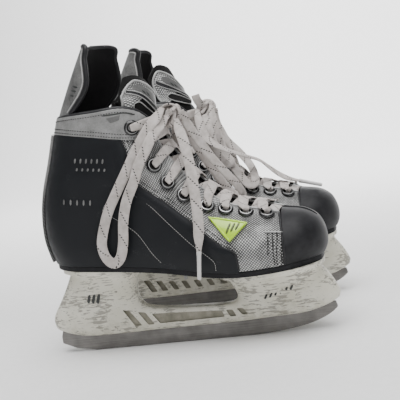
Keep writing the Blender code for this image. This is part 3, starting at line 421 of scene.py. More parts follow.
class Look:
    """One procedural material, put together node by node."""

    def __init__(self, name, colour, rough, **sockets):
        self.material = bpy.data.materials.new(name)
        self.material.use_nodes = True
        self.tree = self.material.node_tree
        self.shader = self.tree.nodes["Principled BSDF"]
        self.shader.inputs["Base Color"].default_value = (*colour, 1)
        self.shader.inputs["Roughness"].default_value = rough
        for key, value in sockets.items():
            self.shader.inputs[key.replace("_", " ")].default_value = value

    def add(self, kind, inputs, **settings):
        node = self.tree.nodes.new(kind)
        for key, value in settings.items():
            setattr(node, key, value)
        for key, value in inputs.items():
            if isinstance(value, bpy.types.NodeSocket):
                self.tree.links.new(value, node.inputs[key])
            else:
                node.inputs[key].default_value = value
        return node

    def link(self, key, socket):
        self.tree.links.new(socket, self.shader.inputs[key])

    def math(self, operation, a, b=0.0, c=0.0):
        return self.add("ShaderNodeMath", {0: a, 1: b, 2: c}, operation=operation).outputs[0]

    def plus(self, a, b):
        return self.math("ADD", a, b)

    def times(self, a, b):
        return self.math("MULTIPLY", a, b)

    def uv(self):
        """Millimetres across and along the piece."""
        parts = self.add("ShaderNodeSeparateXYZ", {0: self.add("ShaderNodeTexCoord", {}).outputs["UV"]})
        return parts.outputs[0], parts.outputs[1]

    def place(self, scale=(1, 1, 1)):
        """Millimetres in the row's frame, stretched."""
        at = self.add("ShaderNodeTexCoord", {}).outputs["Object"]
        size = tuple(c / MM for c in scale)
        return self.add("ShaderNodeMapping", {"Vector": at, "Scale": size}).outputs[0]

    def noise(self, at, grain, detail=3.0, rough=0.55):
        return self.add("ShaderNodeTexNoise", {"Vector": at, "Scale": 1 / grain, "Detail": detail,
                                               "Roughness": rough}).outputs["Fac"]

    def cells(self, at, grain):
        return self.add("ShaderNodeTexVoronoi", {"Vector": at, "Scale": 1 / grain}).outputs["Distance"]

    def steps(self, fac, *stops):
        """A colour ramp: (position, colour or grey)."""
        node = self.add("ShaderNodeValToRGB", {0: fac})
        points = node.color_ramp.elements
        while len(points) < len(stops):
            points.new(0.5)
        for point, (where, colour) in zip(points, stops):
            point.position = where
            point.color = (*(colour if isinstance(colour, tuple) else (colour,) * 3), 1)
        return node.outputs[0]

    def blend(self, fac, a, b, kind="MIX"):
        node = self.add("ShaderNodeMix", {0: fac, 6: a, 7: b}, data_type="RGBA", blend_type=kind)
        return node.outputs[2]

    def bump(self, height, strength, depth):
        node = self.add("ShaderNodeBump",
                        {"Height": height, "Strength": strength, "Distance": depth * MM})
        self.link("Normal", node.outputs[0])


def grey(value):
    return (value, value, value * 0.985)


def make_mesh():
    """Silver mesh: bright knots of yarn over dark gaps, with broad noise patches lightened as painted
    highlights.
    """
    look = Look("silver_mesh", grey(0.3), 0.4, Metallic=0.35)
    u, v = look.uv()
    one, other = (look.math("SINE", look.times(look.math(way, u, v), pi / KNOT_PITCH))
                  for way in ("ADD", "SUBTRACT"))
    knots = look.math("ABSOLUTE", look.times(one, other))
    # painted highlight: broad noise patches that lift the mesh's colour towards its bright end
    painted_highlight = look.noise(look.place(), 15.0, 2.0)
    fine = look.noise(look.place(), 1.0, 2.0)
    height = look.plus(look.times(knots, 0.9), look.times(painted_highlight, 1.25))
    height = look.plus(look.math("SUBTRACT", height, 0.68), look.times(fine, 0.35))
    look.link("Base Color", look.steps(height, (0.08, grey(0.035)), (0.36, grey(0.12)),
                                       (0.7, grey(0.36)), (1.0, grey(0.66))))
    look.bump(knots, 0.8, 0.5)
    return look.material


def make_leather(name, dark, light, rough, metal=0.0, grain=0.7):
    """Coated leather with a fine grain and uneven tone."""
    look = Look(name, light, rough, Metallic=metal, Specular_IOR_Level=0.3)
    at = look.place()
    tone = look.plus(look.times(look.noise(at, 9.0, 4.0), 0.65),
                     look.times(look.noise(at, 1.0, 2.0), 0.35))
    look.link("Base Color", look.steps(tone, (0.3, dark), (0.7, light)))
    look.bump(look.cells(at, grain), 0.25, 0.2)
    return look.material


def make_rear():
    """Smooth black side panel: satin, with dust and small scuffs."""
    look = Look("black_leather", (0.013, 0.014, 0.016), 0.42, Specular_IOR_Level=0.14)
    at = look.place()
    dust = look.times(look.noise(at, 0.9, 3.0, 0.8), look.noise(at, 14.0, 2.0))
    look.link("Base Color", look.steps(dust, (0.36, (0.0125, 0.0135, 0.0155)),
                                       (0.46, (0.035, 0.036, 0.038)), (0.6, (0.11, 0.11, 0.11))))
    look.link("Roughness", look.steps(look.noise(at, 7.0), (0.3, 0.36), (0.75, 0.55)))
    look.bump(look.cells(at, 0.6), 0.12, 0.15)
    return look.material


def make_lace():
    """Flat woven lace with a tracer: short slanting rows of black dots from edge to edge."""
    look = Look("lace_fabric", (0.5, 0.465, 0.44), 0.85, Specular_IOR_Level=0.2)
    u, v = look.uv()
    row = look.times(look.math("FRACT", look.math("DIVIDE", v, 17.0)), 17.0)
    path = look.math("SUBTRACT", look.times(row, 0.7), 3.2)
    off = look.math("ABSOLUTE", look.math("SUBTRACT", u, path))
    on_line = look.math("LESS_THAN", off, 0.6)
    dash = look.math("LESS_THAN", look.math("FRACT", look.math("DIVIDE", v, 1.9)), 0.5)
    dots = look.times(on_line, dash)
    tone = look.noise(look.place(), 5.0, 3.0)
    cloth = look.steps(tone, (0.3, (0.4, 0.365, 0.34)), (0.7, (0.56, 0.52, 0.5)))
    look.link("Base Color", look.blend(dots, cloth, (0.012, 0.012, 0.014, 1)))
    rows = look.math("SINE", look.times(v, 2 * pi / 0.9))
    ribs = look.math("SINE", look.times(u, 2 * pi / 0.8))
    look.bump(look.times(rows, ribs), 0.5, 0.18)
    return look.material


def make_holder():
    """Off-white moulded plastic, scuffed and chipped by use, and darker towards the bottom."""
    look = Look("holder_white", (0.66, 0.64, 0.55), 0.4, Specular_IOR_Level=0.4)
    at = look.place()
    base = look.steps(look.noise(at, 26.0, 3.0), (0.3, (0.57, 0.55, 0.455)), (0.7, (0.72, 0.7, 0.62)))
    blotch = look.noise(at, 16.0, 3.0)
    scratch = look.noise(look.place((0.22, 1.0, 1.5)), 1.9, 3.0, 0.6)
    marks = look.steps(look.plus(scratch, look.times(blotch, 0.8)), (0.975, 0.0), (1.05, 1.0))
    chips = look.noise(look.place((0.8, 1.0, 1.3)), 2.6, 4.0, 0.65)
    specks = look.steps(look.plus(chips, look.times(look.noise(at, 9.0, 2.0), 0.4)),
                        (0.862, 0.0), (0.9, 1.0))
    low = look.add("ShaderNodeSeparateXYZ", {0: at}).outputs[2]
    # darker towards the bottom: a warm dark tint mixed in more strongly lower down, broken up by noise
    lower_darkening = look.steps(look.plus(look.math("DIVIDE", low, 48.0), look.noise(at, 6.0, 4.0)),
                       (0.66, 0.8), (1.05, 0.0))
    colour = look.blend(look.times(lower_darkening, 0.6), base, (0.3, 0.275, 0.2, 1))
    colour = look.blend(look.times(marks, 0.65), colour, (0.14, 0.13, 0.11, 1))
    colour = look.blend(look.times(specks, 0.75), colour, (0.07, 0.065, 0.055, 1))
    look.link("Base Color", colour)
    look.link("Roughness", look.steps(blotch, (0.3, 0.34), (0.7, 0.55)))
    look.bump(look.math("SUBTRACT", look.noise(at, 1.5, 2.0), marks), 0.15, 0.15)
    return look.material


def make_steel():
    """Ground steel: long fine lines."""
    look = Look("runner_steel", (0.2, 0.195, 0.185), 0.42, Metallic=0.85)
    along = look.noise(look.place((0.03, 1, 2.0)), 1.0, 3.0)
    patches = look.noise(look.place(), 11.0, 3.0)
    tone = look.plus(look.times(along, 0.5), look.times(patches, 0.5))
    look.link("Base Color", look.steps(tone, (0.3, (0.13, 0.125, 0.118)), (0.72, (0.25, 0.24, 0.23))))
    look.link("Roughness", look.steps(tone, (0.3, 0.55), (0.7, 0.38)))
    look.bump(along, 0.1, 0.1)
    return look.material


def make_weave():
    """Backstay strip: light grey above, turning to a dark twill weave."""
    look = Look("backstay_grey", grey(0.25), 0.34, Coat_Weight=0.4)
    u, v = look.uv()
    twill = look.math("FRACT", look.math("DIVIDE", look.plus(u, v), 3.2))
    high = look.add("ShaderNodeSeparateXYZ", {0: look.place()}).outputs[2]
    fade = look.steps(look.math("DIVIDE", high, 200.0), (0.64, 0.0), (0.72, 1.0))
    dark = look.steps(twill, (0.35, grey(0.02)), (0.5, grey(0.085)), (0.9, grey(0.03)))
    light = look.steps(look.noise(look.place(), 4.0), (0.3, grey(0.16)), (0.7, grey(0.27)))
    look.link("Base Color", look.blend(fade, dark, light))
    look.bump(twill, 0.2, 0.15)
    return look.material


def make_cloth(name, dark, light, grain=0.5, rough=0.95, sheen=0.3):
    """Felt and brushed linings."""
    look = Look(name, light, rough, Sheen_Weight=sheen, Sheen_Roughness=0.6, Specular_IOR_Level=0.1)
    at = look.place()
    tone = look.plus(look.times(look.noise(at, grain, 4.0, 0.7), 0.6),
                     look.times(look.noise(at, 12.0), 0.4))
    look.link("Base Color", look.steps(tone, (0.3, dark), (0.75, light)))
    look.bump(tone, 0.6, 0.4)
    return look.material


def make_moulded(name, dark, light, rough, grain=1.0, **sockets):
    """Plain moulded or painted surface with slight unevenness."""
    look = Look(name, light, rough, **sockets)
    at = look.place()
    look.link("Base Color", look.steps(look.noise(at, 7.0, 4.0), (0.3, dark), (0.7, light)))
    look.bump(look.noise(at, grain, 2.0), 0.1, 0.1)
    return look.material


LOOKS = {
    "mesh": make_mesh(),
    "rear": make_rear(),
    "lace": make_lace(),
    "holder": make_holder(),
    "steel": make_steel(),
    "weave": make_weave(),
    "collar": make_leather("collar_silver", grey(0.17), grey(0.34), 0.4, 0.2),
    "guard": make_leather("guard_silver", grey(0.05), grey(0.22), 0.42, 0.2, 0.9),
    "plate": make_leather("label_plate", grey(0.09), grey(0.17), 0.35, 0.3),
    "piping": make_leather("piping_silver", grey(0.28), grey(0.46), 0.4, 0.2, 0.5),
    "binding": make_leather("binding_black", (0.008, 0.008, 0.009), (0.018, 0.018, 0.02), 0.5),
    "toe": make_moulded("toe_cap_black", (0.012, 0.012, 0.0135), (0.021, 0.021, 0.023), 0.5, 0.8,
                        Specular_IOR_Level=0.16),
    "sole": make_moulded("outsole_black", (0.008, 0.008, 0.009), (0.017, 0.017, 0.019), 0.55,
                         Specular_IOR_Level=0.14),
    "felt": make_cloth("tongue_felt", (0.005, 0.005, 0.005), (0.013, 0.0125, 0.0125), sheen=0.05),
    "lining": make_cloth("lining_black", (0.005, 0.005, 0.0055), (0.015, 0.014, 0.015), 0.4, sheen=0.05),
    "board": make_cloth("insole_board", (0.2, 0.17, 0.12), (0.36, 0.31, 0.23), 0.6, 0.85, 0.0),
    "eyelet": make_moulded("eyelet_metal", (0.006, 0.006, 0.007), (0.012, 0.012, 0.014), 0.2,
                           Specular_IOR_Level=0.4, Coat_Weight=0.5, Coat_Roughness=0.1),
    # eyelet rim: thin silver metal, a painted highlight standing in for the bright reflected arc on the
    # glossy black eyelets
    "rim": make_moulded("eyelet_painted_highlight", grey(0.25), grey(0.45), 0.28, Metallic=1.0),
    "lime": make_moulded("badge_lime", (0.36, 0.6, 0.003), (0.46, 0.74, 0.006), 0.3, Coat_Weight=0.4),
    "lime_dark": make_moulded("badge_mark", (0.05, 0.07, 0.02), (0.1, 0.13, 0.03), 0.35),
    "aglet": make_moulded("aglet_plastic", (0.5, 0.49, 0.48), (0.62, 0.61, 0.6), 0.2, Coat_Weight=0.4),
    "thread": make_cloth("thread_dark", (0.012, 0.012, 0.012), (0.035, 0.035, 0.035), 0.3, 0.8, 0.0),
    "thread_pale": make_cloth("thread_pale", (0.3, 0.3, 0.29), (0.42, 0.42, 0.4), 0.3, 0.8, 0.0),
    "mark": make_moulded("mark_dark", (0.012, 0.014, 0.013), (0.03, 0.034, 0.032), 0.4),
    "mark_pale": make_moulded("mark_pale", grey(0.06), grey(0.16), 0.5),
    # holder pocket walls: darker brownish grey, painted shade in the pockets' recesses
    "pocket": make_moulded("holder_pocket_shade", (0.17, 0.16, 0.12), (0.33, 0.31, 0.25), 0.6, 2.0),
}


# ---------------------------------------------------------------- pieces

class Skate:
    """One skate of the pair, and the pieces made for it."""

    def __init__(self, name, side):
        self.name = name
        self.side = side

    def world(self, p):
        return ((p[0] - X_MID) * MM, self.side * (Y_SKATE + p[1]) * MM, p[2] * MM)

    def add(self, piece, shape, look, second=None, body=ROOT, stands_for=(), round_mm=0.0, sharp=50):
        """Make one piece from (vertices, faces, uvs, which faces take the second look)."""
        verts, faces, uvs, inner = shape
        mesh = bpy.data.meshes.new(f"{piece}_{self.name}")
        mesh.from_pydata([self.world(p) for p in verts], [], faces)
        for key in (look, second):
            if key:
                mesh.materials.append(LOOKS[key])
        layer = mesh.uv_layers.new(name="mm")
        for loop in mesh.loops:
            layer.data[loop.index].uv = uvs[loop.vertex_index] if uvs else (0.0, 0.0)
        for face in mesh.polygons:
            face.use_smooth = True
            face.material_index = 1 if second and face.index in inner else 0
        bm = bmesh.new()
        bm.from_mesh(mesh)
        bmesh.ops.remove_doubles(bm, verts=bm.verts, dist=1e-7)
        bmesh.ops.recalc_face_normals(bm, faces=bm.faces)
        bm.to_mesh(mesh)
        bm.free()
        mesh.set_sharp_from_angle(angle=radians(sharp))
        obj = bpy.data.objects.new(f"{piece}_{self.name}", mesh)
        bpy.context.scene.collection.objects.link(obj)
        if round_mm:
            bevel = obj.modifiers.new("rounded", "BEVEL")
            bevel.width = round_mm * MM
            bevel.segments = 2
            bevel.limit_method = "ANGLE"
            bevel.angle_limit = radians(48)
        if body:
            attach(obj, self.body(body))
        if stands_for:
            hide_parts(*[f"{self.name}_{n}" for n in stands_for])
        return obj

    def body(self, body):
        return body if body == ROOT else f"{self.name}_{body}"


def arcs(grid):
    """Millimetres across and along a grid of points, measured on the surface."""
    out = []
    middle = len(grid[0]) // 2
    along = [0.0] * len(grid[0])
    for k, row in enumerate(grid):
        across = [0.0]
        for a, b in zip(row, row[1:]):
            across.append(across[-1] + (Vector(b) - Vector(a)).length)
        if k:
            along = [d + (Vector(p) - Vector(q)).length for d, p, q in zip(along, row, grid[k - 1])]
        out += [(c - across[middle], d) for c, d in zip(across, along)]
    return out


def slab(outer, inner):
    """Closed body between two matching grids; the inner grid and the rim take the second look."""
    rows, cols = len(outer), len(outer[0])
    verts = [p for row in outer for p in row] + [p for row in inner for p in row]
    n = rows * cols
    faces, second = [], set()

    def back(face):
        second.add(len(faces))
        faces.append(face)

    for i in range(rows - 1):
        for j in range(cols - 1):
            a = i * cols + j
            faces.append((a, a + 1, a + cols + 1, a + cols))
            back((n + a, n + a + cols, n + a + cols + 1, n + a + 1))
    for j in range(cols - 1):
        k = (rows - 1) * cols + j
        back((j, n + j, n + j + 1, j + 1))
        back((k, k + 1, n + k + 1, n + k))
    for i in range(rows - 1):
        a, b = i * cols, i * cols + cols - 1
        back((a, a + cols, n + a + cols, n + a))
        back((b, n + b, n + b + cols, b + cols))
    uv = arcs(outer)
    return verts, faces, uv + uv, second


def side_uv(points):
    """Millimetres along the boot and down its side, the same for every piece on it."""
    out = []
    for x, v, z in points:
        turn = pi / 2 * smooth((x - 5) / 60)
        over = 0.9 * max(36 - abs(v), 0.0)
        out.append((x + over * cos(turn), z + over * sin(turn)))
    return out


def panel(rows, top, bottom):
    """Body that follows the boot's surface between two heights above it."""
    def height(h, x, z, s):
        return h(x, z, s) if callable(h) else h
    outer = [[skin(x, z, s, height(top, x, z, s)) for x, z, s in row] for row in rows]
    inner = [[skin(x, z, s, height(bottom, x, z, s)) for x, z, s in row] for row in rows]
    verts, faces, _, second = slab(outer, inner)
    return verts, faces, side_uv(verts), second


def tube(rings, closed=False):
    """Body through rings of points, with a face at each end unless it closes on itself."""
    n = len(rings[0])
    verts = [p for ring in rings for p in ring]
    faces = [] if closed else [tuple(range(n - 1, -1, -1)), tuple(range(len(verts) - n, len(verts)))]
    for k in range(len(rings) if closed else len(rings) - 1):
        for i in range(n):
            j, m = (i + 1) % n, (k + 1) % len(rings)
            faces.append((k * n + i, k * n + j, m * n + j, m * n + i))
    return verts, faces, None, set()


def join(shapes):
    """One shape from many; they all have uvs or none has."""
    verts, faces, uvs = [], [], []
    for v, f, u, _ in shapes:
        faces += [tuple(i + len(verts) for i in face) for face in f]
        verts += v
        uvs += u or []
    return verts, faces, uvs or None, set()


def prism(outline, v0, v1):
    return tube([[(x, v0, z) for x, z in outline], [(x, v1, z) for x, z in outline]])


def track(points, s, off, count):
    """Points and normals along a curve on the boot's side."""
    line = points if isinstance(points, Line) else Line(points)
    out = []
    for k in range(count + 1):
        x, z = line.point(k / count)
        out.append((Vector(skin(x, z, s, off)), skin_normal(x, z, s)))
    return out


def shifted(points, gap):
    """The same curve, moved sideways in its plane."""
    line = Line(points)
    out = []
    for k in range(len(points) * 2):
        (x, z), (tx, tz) = line.at(k / (len(points) * 2 - 1))
        out.append((x - tz * gap, z + tx * gap))
    return out


def frames(path):
    """Centre, side and up at each point of a track."""
    out = []
    for k, (p, n) in enumerate(path):
        ahead = (path[min(k + 1, len(path) - 1)][0] - path[max(k - 1, 0)][0]).normalized()
        side = ahead.cross(n).normalized()
        out.append((p, side, side.cross(ahead).normalized()))
    return out


def oval(centre, side, up, a, b, count):
    """Points round an ellipse with half widths a and b."""
    turns = [2 * pi * k / count for k in range(count)]
    return [tuple(centre + side * a * cos(t) + up * b * sin(t)) for t in turns]


def bead(path, radius, flat=1.0, sides=8):
    """Round piping along a track, tapered at its two ends."""
    rings = []
    last = len(path) - 1
    for k, (p, side, up) in enumerate(frames(path)):
        r = radius * (0.35 if k in (0, last) else 1.0)
        rings.append(oval(p, side, up, r, r * flat, sides))
    return tube(rings)


def stitches(path, pitch=2.5, length=1.6, radius=0.3):
    """A row of short threads along a track."""
    spots = [0.0]
    for a, b in zip(path, path[1:]):
        spots.append(spots[-1] + (b[0] - a[0]).length)
    shapes = []
    at = pitch / 2
    while at < spots[-1]:
        k = max(i for i in range(len(spots) - 1) if spots[i] <= at)
        f = (at - spots[k]) / (spots[k + 1] - spots[k])
        p = path[k][0].lerp(path[k + 1][0], f)
        n = path[k][1].lerp(path[k + 1][1], f)
        ahead = (path[k + 1][0] - path[k][0]).normalized()
        ends = []
        for t, rise in ((-0.5, -0.3), (-0.3, 0.6), (0.3, 0.6), (0.5, -0.3)):
            ends.append((p + ahead * length * t + n * radius * rise, n))
        shapes.append(bead(ends, radius, 0.8, 5))
        at += pitch
    return join(shapes)


def ribbon(centres, widths, across, thick=LACE_T):
    """A flat woven lace with rounded edges."""
    section = [(1, 0), (0.9, 0.8), (0.55, 1.1), (0, 0.95), (-0.55, 1.1), (-0.9, 0.8),
               (-1, 0), (-0.9, -0.8), (-0.55, -1.1), (0, -0.95), (0.55, -1.1), (0.9, -0.8)]
    rings, uvs, along = [], [], 0.0
    pts = [Vector(p) for p in centres]
    for k, p in enumerate(pts):
        ahead = (pts[min(k + 1, len(pts) - 1)] - pts[max(k - 1, 0)]).normalized()
        side = Vector(across[k])
        side = (side - ahead * side.dot(ahead)).normalized()
        up = ahead.cross(side)
        along += (p - pts[k - 1]).length if k else 0.0
        rings.append([tuple(p + side * a * widths[k] / 2 + up * b * thick / 2) for a, b in section])
        uvs += [(a * widths[k] / 2, along) for a, _ in section]
    verts, faces, _, _ = tube(rings)
    return verts, faces, uvs, set()


def lathe(centre, normal, profile, sides=24):
    """A ring turned about the normal; the profile is (radius, height) and closes on itself."""
    n = Vector(normal)
    a = n.orthogonal().normalized()
    b = n.cross(a)
    rings = []
    for k in range(sides):
        t = 2 * pi * k / sides
        out = a * cos(t) + b * sin(t)
        rings.append([tuple(Vector(centre) + out * r + n * h) for r, h in profile])
    return tube(rings, closed=True)


# ---------------------------------------------------------------- camera, floor and light

def build_stage():
    camera = bpy.data.objects.new("camera", bpy.data.cameras.new("camera"))
    bpy.context.scene.collection.objects.link(camera)
    right, up = Vector(CAMERA_RIGHT), Vector(CAMERA_UP)
    back = right.cross(up)
    facing = Matrix((right, up, back)).transposed().to_4x4()
    camera.matrix_world = Matrix.Translation(CAMERA_AT) @ facing
    camera.data.lens = LENS
    camera.data.sensor_width = SENSOR
    camera.data.clip_start = 0.01
    bpy.context.scene.camera = camera

    profile = [(FLOOR_NEAR, 0.0), (FLOOR_FAR, 0.0)]
    for k in range(1, 11):
        turn = pi / 2 * k / 10
        profile.append((FLOOR_FAR + SWEEP * sin(turn), SWEEP * (1 - cos(turn))))
    profile.append((FLOOR_FAR + SWEEP, WALL))
    verts = [(x, y, z) for y, z in profile for x in (-FLOOR_HALF, FLOOR_HALF)]
    faces = [(2 * k, 2 * k + 1, 2 * k + 3, 2 * k + 2) for k in range(len(profile) - 1)]
    mesh = bpy.data.meshes.new("floor")
    mesh.from_pydata(verts, [], faces)
    mesh.shade_smooth()
    mesh.materials.append(make_moulded("floor_white", (0.86, 0.86, 0.86), (0.9, 0.9, 0.9), 0.7, 40.0))
    floor = bpy.data.objects.new("floor", mesh)
    bpy.context.scene.collection.objects.link(floor)

    world = bpy.data.worlds.new("studio")
    bpy.context.scene.world = world
    world.use_nodes = True
    world.node_tree.nodes["Background"].inputs["Color"].default_value = (1, 1, 1, 1)
    world.node_tree.nodes["Background"].inputs["Strength"].default_value = SKY
    for place, aim, size, power in LAMPS:
        lamp = bpy.data.lights.new("softbox", "AREA")
        lamp.shape = "SQUARE"
        lamp.size = size
        lamp.energy = power
        obj = bpy.data.objects.new("softbox", lamp)
        obj.location = place
        obj.rotation_euler = (Vector(aim) - Vector(place)).to_track_quat("-Z", "Y").to_euler()
        bpy.context.scene.collection.objects.link(obj)


# ---------------------------------------------------------------- laces

def spread(points, steps, width, taper, first, last):
    """Centres, widths and width directions of a free lace, whose face turns from one way to another."""
    centres = resample(points, steps)
    n = len(centres)
    widths, across = [], []
    for k in range(n):
        t = k / (n - 1)
        narrow = smooth((t - taper) / (1 - taper)) if taper < 1 else 0.0
        tucked = min(k, n - 1 - k if taper > 1 else k) / 8
        widths.append(width * (1 - 0.62 * narrow) * (0.55 + 0.45 * smooth(tucked)))
        ahead = Vector(centres[min(k + 1, n - 1)]) - Vector(centres[max(k - 1, 0)])
        across.append(ahead.cross(Vector(first).lerp(Vector(last), smooth(t * 3))).normalized())
    return centres, widths, across


def build_free_laces(skate):
    for piece, routes, taper in (("lace_loop_outer", LOOP_A, 1.5), ("lace_loop_inner", LOOP_B, 1.5),
                                 ("lace_end_outer", END_A, 0.86), ("lace_end_inner", END_B, 0.86)):
        points = routes[skate.name]
        first, last = LACE_FACES[skate.name, piece]
        centres, widths, across = spread(points, 6, LACE_W, taper, first, last)
        obj = skate.add(piece, ribbon(centres, widths, across), "lace", stands_for=[piece])
        length = sum((Vector(a) - Vector(b)).length for a, b in zip(centres, centres[1:])) * MM
        if "end" in piece:
            tips = [build_aglet(skate, piece.replace("lace_end", "aglet"), centres)]
        skate.world(points[0])
        [skate.world(p) for p in centres]


def build_aglet(skate, piece, centres):
    """Clear tip, crimped round the lace's end."""
    b = Vector(centres[-1])
    d = (b - Vector(centres[-5])).normalized()
    side = Vector((1, 0, 0))
    side = (side - d * side.dot(d)).normalized()
    up = d.cross(side)
    rings = []
    for along, a, c in ((-2.0, 1.7, 1.0), (-1.2, 1.95, 1.25), (0.4, 1.85, 1.3), (1.6, 1.7, 1.3),
                        (AGLET_LENGTH - 1.2, 1.55, 1.3), (AGLET_LENGTH - 0.2, 1.3, 1.1),
                        (AGLET_LENGTH, 0.8, 0.7)):
        rings.append(oval(b + d * along, side, up, a, c, 14))
    obj = skate.add(piece, tube(rings), "aglet", stands_for=[piece])
    return obj


def lace_route():
    """Route of the held lace: out of every eyelet, over the tongue and under the other facing."""
    spots = [CREST.nearest(x, z)[1] for x, z in EYELETS]
    pts = []

    def eyelet(k, s, outward):
        x, z = EYELETS[k]
        steps = ((-4.0, 3.4), (-1.0, 3.4), (2.4, 3.8), (4.6, 5.6))
        for off, width in (steps if outward else reversed(steps)):
            pts.append((*skin(x, z, s, off), width, spots[k]))

    def strand(k, s, height, up):
        a, b = spots[k], spots[k - 1]
        legs = [(on_crest(a + 0.22 * (b - a), s * 19.0, 3.8), 7.4, 0.22),
                (crest_point(a + 0.36 * (b - a), s * 9, depth_of(a, 9) - 2.4), LACE_W, 0.36),
                (crest_point((a + b) / 2, 0, height), LACE_W, 0.5),
                (crest_point(a + 0.66 * (b - a), -s * 9, 2.6), LACE_W, 0.66),
                (on_crest(a + 0.84 * (b - a), -s * 18, -4.7), 6.6, 0.84)]
        for point, width, share in (legs if up else reversed(legs)):
            pts.append((*point, width, a + share * (b - a)))

    last = len(EYELETS) - 1
    pts.append((KNOT[0] - 4.0, 8.0, KNOT[2] - 2.0, 6.0, spots[0] + 0.01))
    pts.append((*on_crest(spots[0] + 0.004, 18, 4.6), LACE_W, spots[0] + 0.004))
    s = 1
    for k in range(last + 1):
        eyelet(k, s, False)
        if k < last:
            strand(k + 1, -s, -1.3, False)
            s = -s
    low = spots[last] - 0.012
    for v, depth in ((18, None), (8, 1.6), (-8, 1.6), (-18, None)):
        point = on_crest(low, s * v, -4.7) if depth is None else crest_point(low - 0.003, s * v, depth)
        pts.append((*point, 6.6 if depth is None else LACE_W, low))
    s = -s
    for k in range(last, -1, -1):
        eyelet(k, s, True)
        if k:
            strand(k, s, -3.0, True)
            s = -s
    pts.append((*on_crest(spots[0] + 0.004, -18, 4.6), LACE_W, spots[0] + 0.004))
    pts.append((KNOT[0] - 4.0, -8.0, KNOT[2] - 2.0, 6.0, spots[0] + 0.01))
    return pts


LACE_ROUTE = resample(lace_route(), 4)


def build_lace(skate):
    across = []
    for _, _, _, _, share in LACE_ROUTE:
        tx, tz = CREST.at(share)[1]
        across.append((tx, 0.0, tz))
    shape = ribbon([p[:3] for p in LACE_ROUTE], [p[3] for p in LACE_ROUTE], across)
    skate.add("lace", shape, "lace", stands_for=["lace"])


def build_knot(skate):
    """The bow's knot: folded strands under one turn of lace, with a short tail on the left skate."""
    c = Vector(KNOT)
    shapes = []
    for height, turn, reach, drop in ((1.5, 0.0, 12.0, 2.0), (4.6, 0.6, 10.5, 0.5),
                                      (-2.0, -0.5, 11.0, 3.0), (3.2, -0.9, 9.0, 1.0)):
        pts, across = [], []
        for k in range(17):
            t = k / 8 - 1
            pts.append(c + Vector((height + 2.4 * cos(t * 2.2) - drop * t * t, t * reach,
                                   turn * 7 * t + 2.6 * cos(t * 3) - drop * abs(t))))
            across.append(Vector((0.25, 0, 1)).lerp(Vector((0.9, 0, 0.4)), abs(t)))
        shapes.append((pts, [7.8 - 1.8 * abs(k - 8) / 8 for k in range(17)], across, 2.8))
    for radius, tilt, mid, wide in ((7.6, 0.7, 1.2, 7.2), (6.4, -0.8, -2.6, 6.4)):
        ring, across = [], []
        for k in range(25):
            a = 2 * pi * k / 24
            ring.append(c + Vector((1.6 + radius * cos(a), mid + 1.6 * sin(a + tilt),
                                    0.88 * radius * sin(a))))
            across.append(Vector((0.1, 1, 0.35 * tilt)))
        shapes.append((ring, [wide] * 25, across, 1.8))
    if skate.name == "left":
        tail = resample([(22, -6, 180), (20.5, -10, 185), (18.5, -12, 190), (17.5, -12, 194.5)], 5)
        n = len(tail)
        shapes.append((tail, [7.4] * n, [Vector((1, 0.3, 0))] * n, 1.8))
    knot = join([ribbon(*strip) for strip in shapes])
    obj = skate.add("lace_knot", knot, "lace", stands_for=["lace_knot"])


# ---------------------------------------------------------------- boot

def build_wall(skate):
    back = back_from(HEEL_Z, COLLAR_Z)
    rows = wrap(patch(sole_edge(back(0)[0], SEAM_X), quarter_top, back, seam, 44, 26,
                      lambda t: 0.12 * t + 0.88 * ease_in(t), lambda t: 0.25 * t + 0.75 * ease_out(t)))
    obj = skate.add("boot_wall", panel(rows, 0.0, -3.0), "mesh", "lining", stands_for=["quarter_shell"],
                    round_mm=0.6)


def build_rear_panel(skate):
    edge, band = Line(BLACK_EDGE), Line(BAND_LOW)
    back = back_from(HEEL_Z, BAND_Z)
    corner = band.nearest(-12.2, 168)[1]
    low = sole_edge(back(0)[0], 64, 0.3)
    rows = wrap(patch(low, lambda t: band.point(corner * t), back,
                      lambda t: edge.point(t) if t > 0 else low(1), 40, 30,
                      lambda t: 0.1 * t + 0.9 * ease_in(t), lambda t: 0.5 * t + 0.5 * ease_out(t)))

    def puffed(x, z, s):
        """The padded roll along the panel's front edge, then the groove of the first seam."""
        d = abs(edge.nearest(x, z)[0])
        return 1.2 + 1.5 * smooth(d / 2.5) * (1 - smooth((d - 5) / 4))

    obj = skate.add("rear_panel", panel(rows, puffed, 0.05), "rear", stands_for=["rear_panel"],
                    round_mm=0.5)


def build_backstay(skate):
    rows = []
    t0, t1 = BACK.share_at_z(79), BACK.share_at_z(BAND_Z)
    for k in range(41):
        (bx, bz), (tx, tz) = BACK.at(t0 + (t1 - t0) * k / 40)
        rows.append([(bx + tz * d, bz - tx * d, s)
                     for d, s in ((2.8, 1), (1.9, 1), (1.1, 1), (0.5, 1), (0.1, 1), (0.0, 1),
                                  (0.1, -1), (0.5, -1), (1.1, -1), (1.9, -1), (2.8, -1))])
    obj = skate.add("backstay", panel(rows, 3.6, 1.2), "weave", stands_for=["backstay"], round_mm=0.5)


def build_toe_cap(skate):
    t_seam, t_corner = CREST.nearest(98.2, 98)[1], CREST.nearest(122.5, 88.2)[1]
    t_front = CREST.share_at_z(upper_z(122))
    top = CREST.point(t_seam)

    def left(t):
        x, z = seam(t)
        return (x + 0.1 + 0.5 * t, z + (top[1] - SEAM_HIGH[1]) * t ** 3) if t < 1 else top

    grid = patch(sole_edge(97.6, CREST.point(t_front)[0]), CREST.part(t_seam, t_corner), left,
                 CREST.part(t_front, t_corner), 24, 24, ease_out, ease_out)
    rows = [[(x, z, 1) for x, z in row] + [(x, z, -1) for x, z in reversed(row[:-1])] for row in grid]
    obj = skate.add("toe_cap", panel(rows, 0.3, -2.7), "toe", stands_for=["toe_cap"], round_mm=0.4)


def build_trim(skate):
    for s, word in ((1, "outer"), (-1, "inner")):
        for build in (build_collar, build_facing, build_eyelets, build_edge, build_toe_seam):
            build(skate, s, word)


